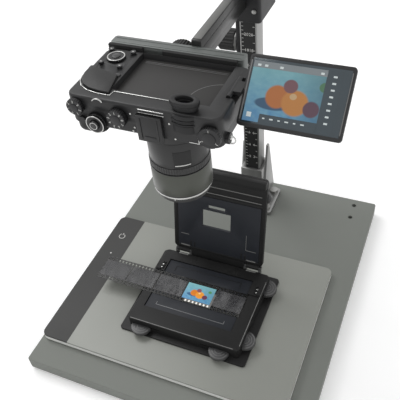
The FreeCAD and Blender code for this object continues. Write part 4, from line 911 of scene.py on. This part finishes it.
def make_dials():
    make_dial("mode_dial", 9, 6, 28, "123456789")
    make_dial("exposure_dial", 8, 5, 26, "3210123")
    make_dial("drive_dial", 10, 5, 30, "123", cap=0.6)
    make_dial("release_dial", 9.5, 5, 30, ring=4.7)
    x, _, z = middle("release_dial")
    make_one("release_ring", "release_dial", "chrome", add_ring, 8.0, 8.9, 0.5,
             (x, extent("release_dial")[0].y + 0.35, z), "-y", 0.2)


def make_shutter_button():
    """Cap of the button, short enough for its travel, and its rim."""
    low, high, (x, _, z) = measure("shutter_button")
    foot = high.y - 1.2
    make_one("shutter_cap", "shutter_button", "key", add_rod, 4.5, foot - low.y, (x, foot, z), "-y",
             0.5, end_radius=4.2, stands_for=("shutter_button",))
    make_one("shutter_rim", "shutter_button", "chrome", add_ring, 3.1, 3.7, 0.25,
             (x, low.y + 0.05, z), "-y", 0.1)


def make_rear_controls():
    """Ring dial with its pad and four dots."""
    low, high, (x, y, _) = measure("rear_dial")
    rim, away = 1.8, 5.1
    part = bmesh.new()
    add_knurled(part, 9, rim, 34, 0.3, (x, y, high.z - rim), edge=0.3)
    add_rod(part, 2.0, 4.0, (x, y, low.z), edge=0.1, sides=24)
    make_piece("rear_dial_wheel", "rear_dial", "dial", part, stands_for=("rear_dial",))
    make_one("rear_dial_ring", "rear_dial", "chrome", add_ring, 7.4, 8.5, 0.35,
             (x, y, high.z - 0.1), edge=0.15)
    part = bmesh.new()
    add_rod(part, 4.0, 0.9, (x, y, high.z - 0.2))
    for across, along in ((0, away), (-away, 0), (0, -away), (away, 0)):
        add_rod(part, 0.45, 0.2, (x + across, y + along, high.z - 0.05), edge=0, sides=12)
    make_piece("rear_dial_pad", "rear_dial", "key", part)


def make_keys():
    """Cap of the lower key, which has no node, and a white mark on each of the other keys, a painted highlight on
    its top.
    """
    low, high = extent("camera_rear_shell")
    make_one("lower_key_cap", "carriage", "key", add_rod, 2.6, 1.3,
             (low.x + 32.5, low.y + 38, high.z - 0.1), edge=0.4, sides=32)
    # Each key's white mark is a painted highlight on its top.
    for key in ("play_button", "menu_button", "info_button", "zoom_button"):
        x, y, _ = middle(key)
        make_one(key + "_mark", key, "white", add_box, (1.8, 1.0, 0.12), (x, y, extent(key)[1].z),
                 0)


def make_thumb_rest():
    """Raised rest with a curved front, and the bright line along it and the recess.

    Points count from the lower left corner of the camera's back."""
    low, high = extent("camera_rear_shell")
    curve = [(2, 31), (4, 23), (9.5, 16), (18, 11.4), (29, 9.6)]
    outline = [(1.5, 44), *curve, (39.5, 9.2), (33.5, 36.5), (9.5, 42.5), (8.5, 44.8)]
    line = [(x - 1, y - 1.4) for x, y in curve] + [(40.4, 7.8), (41.6, 14.6), (100, 14.6)]
    make_one("thumb_rest", "carriage", "leather", add_plate,
             [(low.x + x, low.y + y) for x, y in outline], high.z - 0.2, 2.8, 1.0)
    make_one("rear_edge_line", "carriage", "chrome", add_line,
             [(low.x + x, low.y + y) for x, y in line], high.z + 0.2, 0.85, 0.7)


def make_recess():
    """Smooth floor of the screen's recess, with a faint bow and the hinge's channel."""
    box = next(o for o in frame["record"]["physics"]["openings"] if o["name"] == "screen_recess")
    low, high = (Vector(c) / MM for c in box["box_m"])
    x, y, _ = (low + high) / 2
    wide, deep, floor = high.x - low.x, high.y - low.y, low.z - 0.3
    make_one("recess_floor", "carriage", "recess", add_box, (wide + 1.2, deep + 1.2, 0.3),
             (x, y, floor + 0.12), 0.08)
    part = bmesh.new()
    add_ring(part, 27.4, 28.0, 0.12, (high.x + 3, low.y + 12, floor + 0.27), edge=0, sides=32,
             arc=88, begin=92)
    for inset in (3.5, 5.5):
        add_box(part, (wide - 8, 0.5, 0.25), (x, high.y - inset, floor + 0.35), 0.08)
    make_piece("recess_lines", "carriage", "camera_rule", part)


def make_eyepiece():
    """Soft oval cup in three steps, its glass, and the ringed tube beside it."""
    low, high, (x, y, _) = measure("eyecup")
    reach, lip = (high.x - low.x) / 2, 4.2
    squeeze = Matrix.Diagonal((1.0, (high.y - low.y) / (high.x - low.x), 1.0, 1.0))
    place = Matrix.Translation((x, y, low.z)) @ squeeze
    part = bmesh.new()
    for inner, outer, base, height, edge in ((0.62, 0.86, 0, 3.2, 0.4), (0.55, 0.94, 3, 1.8, 0.6),
                                             (0.58, 1.0, high.z - low.z - lip, lip, 1.3)):
        add_ring(part, reach * inner, reach * outer, height, (0, 0, base), edge=edge, matrix=place)
    make_piece("eyecup_ring", "eyecup", "eyecup", part, stands_for=("eyecup",))
    make_one("eyepiece_glass", "eyecup", "glass", add_rod, reach * 0.6, 1.0, (0, 0, 1.0),
             matrix=place)
    shell_low, shell_high = extent("camera_rear_shell")
    place = Matrix.Translation((x + 1, shell_low.y + 4.5, shell_high.z - 30)) @ squeeze
    part = bmesh.new()
    for radius, base, height in ((12.2, 12.0, 7.6), (13.2, 20.2, 1.4), (12.4, 22.0, 1.4),
                                 (13.2, 23.8, 1.4), (12.6, 25.6, 3.6)):
        add_ring(part, radius - 4, radius, height, (0, 0, base), edge=0.5, matrix=place)
    make_piece("eyepiece_tube", "carriage", "eyecup", part)


def make_top_plate():
    """Shoe cover's rails, the lips beside it and the bright corner mark of the top plate."""
    low, high, (x, _, z) = measure("hot_shoe_cover")
    shell_low, shell_high = extent("camera_rear_shell")
    face = shell_low.y - 0.2
    part = bmesh.new()
    for rail in (low.x + 4, high.x - 4):
        add_box(part, (1.2, 0.8, high.z - low.z - 4), (rail, low.y - 0.1, z))
    add_box(part, (11, 0.7, 2.0), (x, low.y, low.z + 5))
    make_piece("shoe_ribs", "carriage", "black", part)
    part = bmesh.new()
    for rise in (1.6, 4.6):
        add_box(part, (24, 0.8, 0.8), (x + 2, face, high.z + rise), 0.2)
    add_box(part, (9.4, 0.7, 0.9), (shell_high.x - 24.4, face, shell_high.z - 27), 0.2)
    add_box(part, (0.9, 0.7, 5), (shell_high.x - 20.1, face, shell_high.z - 24.4), 0.2)
    make_piece("shoe_lips", "carriage", "chrome", part)


def make_top_controls():
    """Edge wheel shown only as a chrome arc where its rim catches light, a painted highlight; small knob and index
    dots of the top plate.
    """
    low, high = extent("camera_rear_shell")
    shoe = middle("hot_shoe_cover")
    # The bright arc is a painted highlight on the edge wheel's rim.
    make_one("edge_wheel_glint", "carriage", "chrome", add_ring, 5.2, 6.1, 0.9,
             (low.x + 32.5, low.y - 0.2, high.z - 5), "-y", 0.2, 24, arc=120, begin=30)
    make_one("top_plate_knob", "carriage", "dial", add_knurled, 3.6, 3.0, 14, 0.3,
             (low.x + 13.5, low.y + 0.5, high.z - 24), "-y", 0.3)
    part = bmesh.new()
    for x, z in ((-18, 11), (-16, -3), (-18, -7), (18, 8), (22, -7)):
        add_rod(part, 0.9, 0.3, (shoe.x + x, low.y + 0.1, shoe.z + z), "-y", 0.1, 16)
    make_piece("top_plate_dots", "carriage", "white", part)


def make_strap_ring():
    low, high = extent("camera_front_shell")
    y, z = low.y + 11, high.z - 6
    part = bmesh.new()
    add_ring(part, 3.4, 4.6, 1.1, (high.x + 1.0, y, z), "-y", 0.35, 32)
    add_rod(part, 1.6, 2.4, (high.x - 1.4, y + 1, z), "x", 0.3, 24)
    make_piece("strap_ring", "carriage", "chrome", part)


def make_lens_rings():
    """Silver ring over the front rim, smooth band and index dot."""
    front = extent("lens_barrel")[0].z
    low, high, (x, y, _) = measure("focus_ring")
    reach, base = (high.x - low.x) / 2, front + 8.7
    make_one("lens_silver_ring", "carriage", "chrome", add_ring, reach - 6, reach - 0.2, 3.4,
             (x, y, front + 5.2), edge=0.7, sides=96)
    make_one("lens_smooth_band", "carriage", "lens_band", add_ring, reach - 3.4, reach + 0.05,
             low.z - 0.4 - base, (x, y, base), edge=0.8, sides=96)
    make_one("lens_index_dot", "carriage", "white", add_rod, 0.9, 0.5,
             (x + 2.9, y - 26.5, front + 3.2), "-y", 0.1, 16)


def make_focus_ring():
    """Knurled grip of the focusing ring, and its window with a line."""
    low, high, (x, y, _) = measure("focus_ring")
    reach, grip = (high.x - low.x) / 2, 7
    rim, window = low.z + grip + 0.2, low.z + grip + 1
    part = bmesh.new()
    add_knurled(part, reach, grip, 72, 0.4, (x, y, low.z + 0.3), edge=0.4)
    add_ring(part, reach - 3.4, reach - 0.6, high.z - rim - 0.4, (x, y, rim), edge=0.5, sides=96)
    make_piece("focus_grip", "focus_ring", "lens", part, stands_for=("focus_ring",))
    make_one("focus_window", "focus_ring", "scale", add_ring, reach - 1.2, reach - 0.3, 19,
             (x, y, window), edge=0.2, sides=12, arc=34, begin=-75)
    make_one("focus_window_line", "focus_ring", "white", add_ring, reach - 0.8, reach - 0.1, 1,
             (x, y, window + 3), edge=0.1, sides=12, arc=29, begin=-72.5)


# Screen


def make_screen():
    """Glass with a wide picture, bars with plain marks on three sides, and bright edges that are painted
    highlights.

    They are drawn flat, with the tilt axis at the origin."""
    place = joint_place("screen_tilt_turn", 0)
    flat = place.inverted()
    points = [flat @ (v.co / MM) for v in frame["nodes"]["screen_glass"].data.vertices]
    low = Vector(min(p[i] for p in points) for i in range(3))
    high = Vector(max(p[i] for p in points) for i in range(3))
    x, y, _ = (low + high) / 2
    make_one("screen_cover", "screen", "veil", add_box, (high.x - low.x, high.y - low.y, 0.5),
             (x, y, high.z - 0.3), 0.1, place, stands_for=("screen_glass",))
    make_display(place, low.x + 1, high.x - 7, low.y + 1.5, high.y - 2.5, high.z)
    part = bmesh.new()
    # Lighter strips on the two side edges: painted highlights.
    for width, side in ((1.2, low.x - 1.0), (0.8, high.x + 0.5)):
        add_box(part, (width, high.y - low.y - 4, 0.3), (side, y, high.z - 0.05), 0.1, place)
    make_piece("screen_edge_highlights", "screen", "camera_rule", part)


def make_display(place, left, right, bottom, top, face):
    """Picture on the screen, and the bars and marks over it."""
    wide, tall, x, y = right - left, top - bottom, (left + right) / 2, (bottom + top) / 2
    make_picture("screen_picture_sheet", "screen", "display",
                 place @ Matrix.Translation((x, y, face - 0.06)), (wide, tall))

    def print_bars(name, finish, height, bars):
        part = bmesh.new()
        for bar_wide, bar_tall, bar_x, bar_y in bars:
            add_box(part, (bar_wide, bar_tall, 0.06), (bar_x, bar_y, height), 0, place)
        make_piece(name, "screen", finish, part)

    print_bars("screen_dark_bars", "veil", face + 0.02, [
        (12.6, tall + 0.4, right - 6, y), (wide - 26, 7.4, x + 1, bottom + 3.6)])
    print_bars("screen_top_bar", "bar", face + 0.02, [(wide - 12, 5.4, x - 6, top - 2.6)])
    side_marks = [(3.0, 1.5, right - 5.5, bottom + 8 + 5.4 * row) for row in range(8)]
    lower_marks = [(2.0 + column % 2, 1.1, left + 18 + 6.5 * column, bottom + 4)
                   for column in range(6)]
    upper_marks = [(2.8, 1.8, spot, top - 3.2) for spot in (left + 5, left + 11, left + 24,
                                                           right - 16)]
    print_bars("screen_marks", "mark", face + 0.09,
               [*side_marks, *lower_marks, *upper_marks, (4.0, 4.0, left + 5, bottom + 5.5)])


# Room


FLOOR_LIFT = 0.22


def seen_directly(tree):
    """1 where the background is seen by the camera, or in metal or glass."""
    rays = add_node(tree, "ShaderNodeLightPath").outputs
    total = larger(tree, rays["Is Camera Ray"], rays["Is Glossy Ray"])
    return larger(tree, total, rays["Is Transmission Ray"])


def make_room():
    """Pale floor that keeps the shadow and is lifted to white where it is seen."""
    floor_mat = bpy.data.materials.new("floor_white")
    floor_mat.use_nodes = True
    tree = floor_mat.node_tree
    shader = tree.nodes["Principled BSDF"]
    tone = blend_colours(tree, spread(tree, noise(tree, place_coords(tree), 3.0), 0, 1),
                         grey(0.90), grey(0.93))
    tree.links.new(tone, shader.inputs["Base Color"])
    set_inputs(shader, {"Roughness": 0.9, "Emission Color": (1, 1, 1, 1)})
    lift = spread(tree, seen_directly(tree), 0.0, FLOOR_LIFT, 0.0, 1.0)
    tree.links.new(lift, shader.inputs["Emission Strength"])
    part = bmesh.new()
    bmesh.ops.create_grid(part, x_segments=1, y_segments=1, size=6.0)
    mesh = mesh_from("floor", part)
    mesh.materials.append(floor_mat)
    add_object("floor", mesh)


def make_world():
    world = bpy.data.worlds.new("studio")
    bpy.context.scene.world = world
    world.use_nodes = True
    tree = world.node_tree
    ground = tree.nodes["Background"]
    level = spread(tree, seen_directly(tree), 0.62, 1.0, 0.0, 1.0)
    tree.links.new(level, ground.inputs["Strength"])
    ground.inputs["Color"].default_value = (1, 1, 1, 1)


def add_lamp(name, place, target, size, power):
    data = bpy.data.lights.new(name, "AREA")
    data.size = size
    data.energy = power
    lamp = add_object(name, data)
    lamp.location = place
    lamp.rotation_euler = (Vector(target) - Vector(place)).to_track_quat("-Z", "Y").to_euler()


def make_lamps():
    add_lamp("key_lamp", (-2.2, 0.8, 3.2), (0, 0, 0.1), 2.0, 62)
    add_lamp("fill_lamp", (1.5, -1.4, 1.4), (0, 0, 0.15), 1.4, 9)


# Camera that matches the photograph: 400 by 400 pixels, a focal length in
# pixels, a place in millimetres, and its heading, pitch and roll in degrees.
PHOTO_SIZE = 400
FOCAL_PIXELS = 601.5
CAMERA_PLACE = (217.6, -443.5, 625.7)
HEADING, PITCH, ROLL = 27.34, -43.6, -6.58
SENSOR = 36.0


def make_camera():
    data = bpy.data.cameras.new("photo_camera")
    data.sensor_width = SENSOR
    data.lens = FOCAL_PIXELS / PHOTO_SIZE * SENSOR
    data.clip_start = 0.01
    camera = add_object("photo_camera", data)
    heading, pitch, roll = (math.radians(a) for a in (HEADING, PITCH, ROLL))
    turn = (Matrix.Rotation(heading, 4, "Z") @ Matrix.Rotation(math.pi / 2 + pitch, 4, "X")
            @ Matrix.Rotation(roll, 4, "Z"))
    camera.matrix_world = Matrix.Translation(Vector(CAMERA_PLACE) * MM) @ turn
    bpy.context.scene.camera = camera


make_camera()
make_world()
make_lamps()
make_room()
paint_nodes()
soften_nodes()
make_plate_marks()
make_stage_details()
make_guide_combs()
make_hinge_trim()
make_grip_ridges()
make_lid_details()
make_film()
make_film_pictures()
make_scale_print()
make_clamp()
make_carriage_screws()
make_arm_details()
make_rail_details()
make_tripod_wheel()
make_dials()
make_shutter_button()
make_rear_controls()
make_keys()
make_thumb_rest()
make_recess()
make_eyepiece()
make_top_plate()
make_top_controls()
make_strap_ring()
make_lens_rings()
make_focus_ring()
make_screen()
bpy.context.scene.view_settings.view_transform = "Standard"
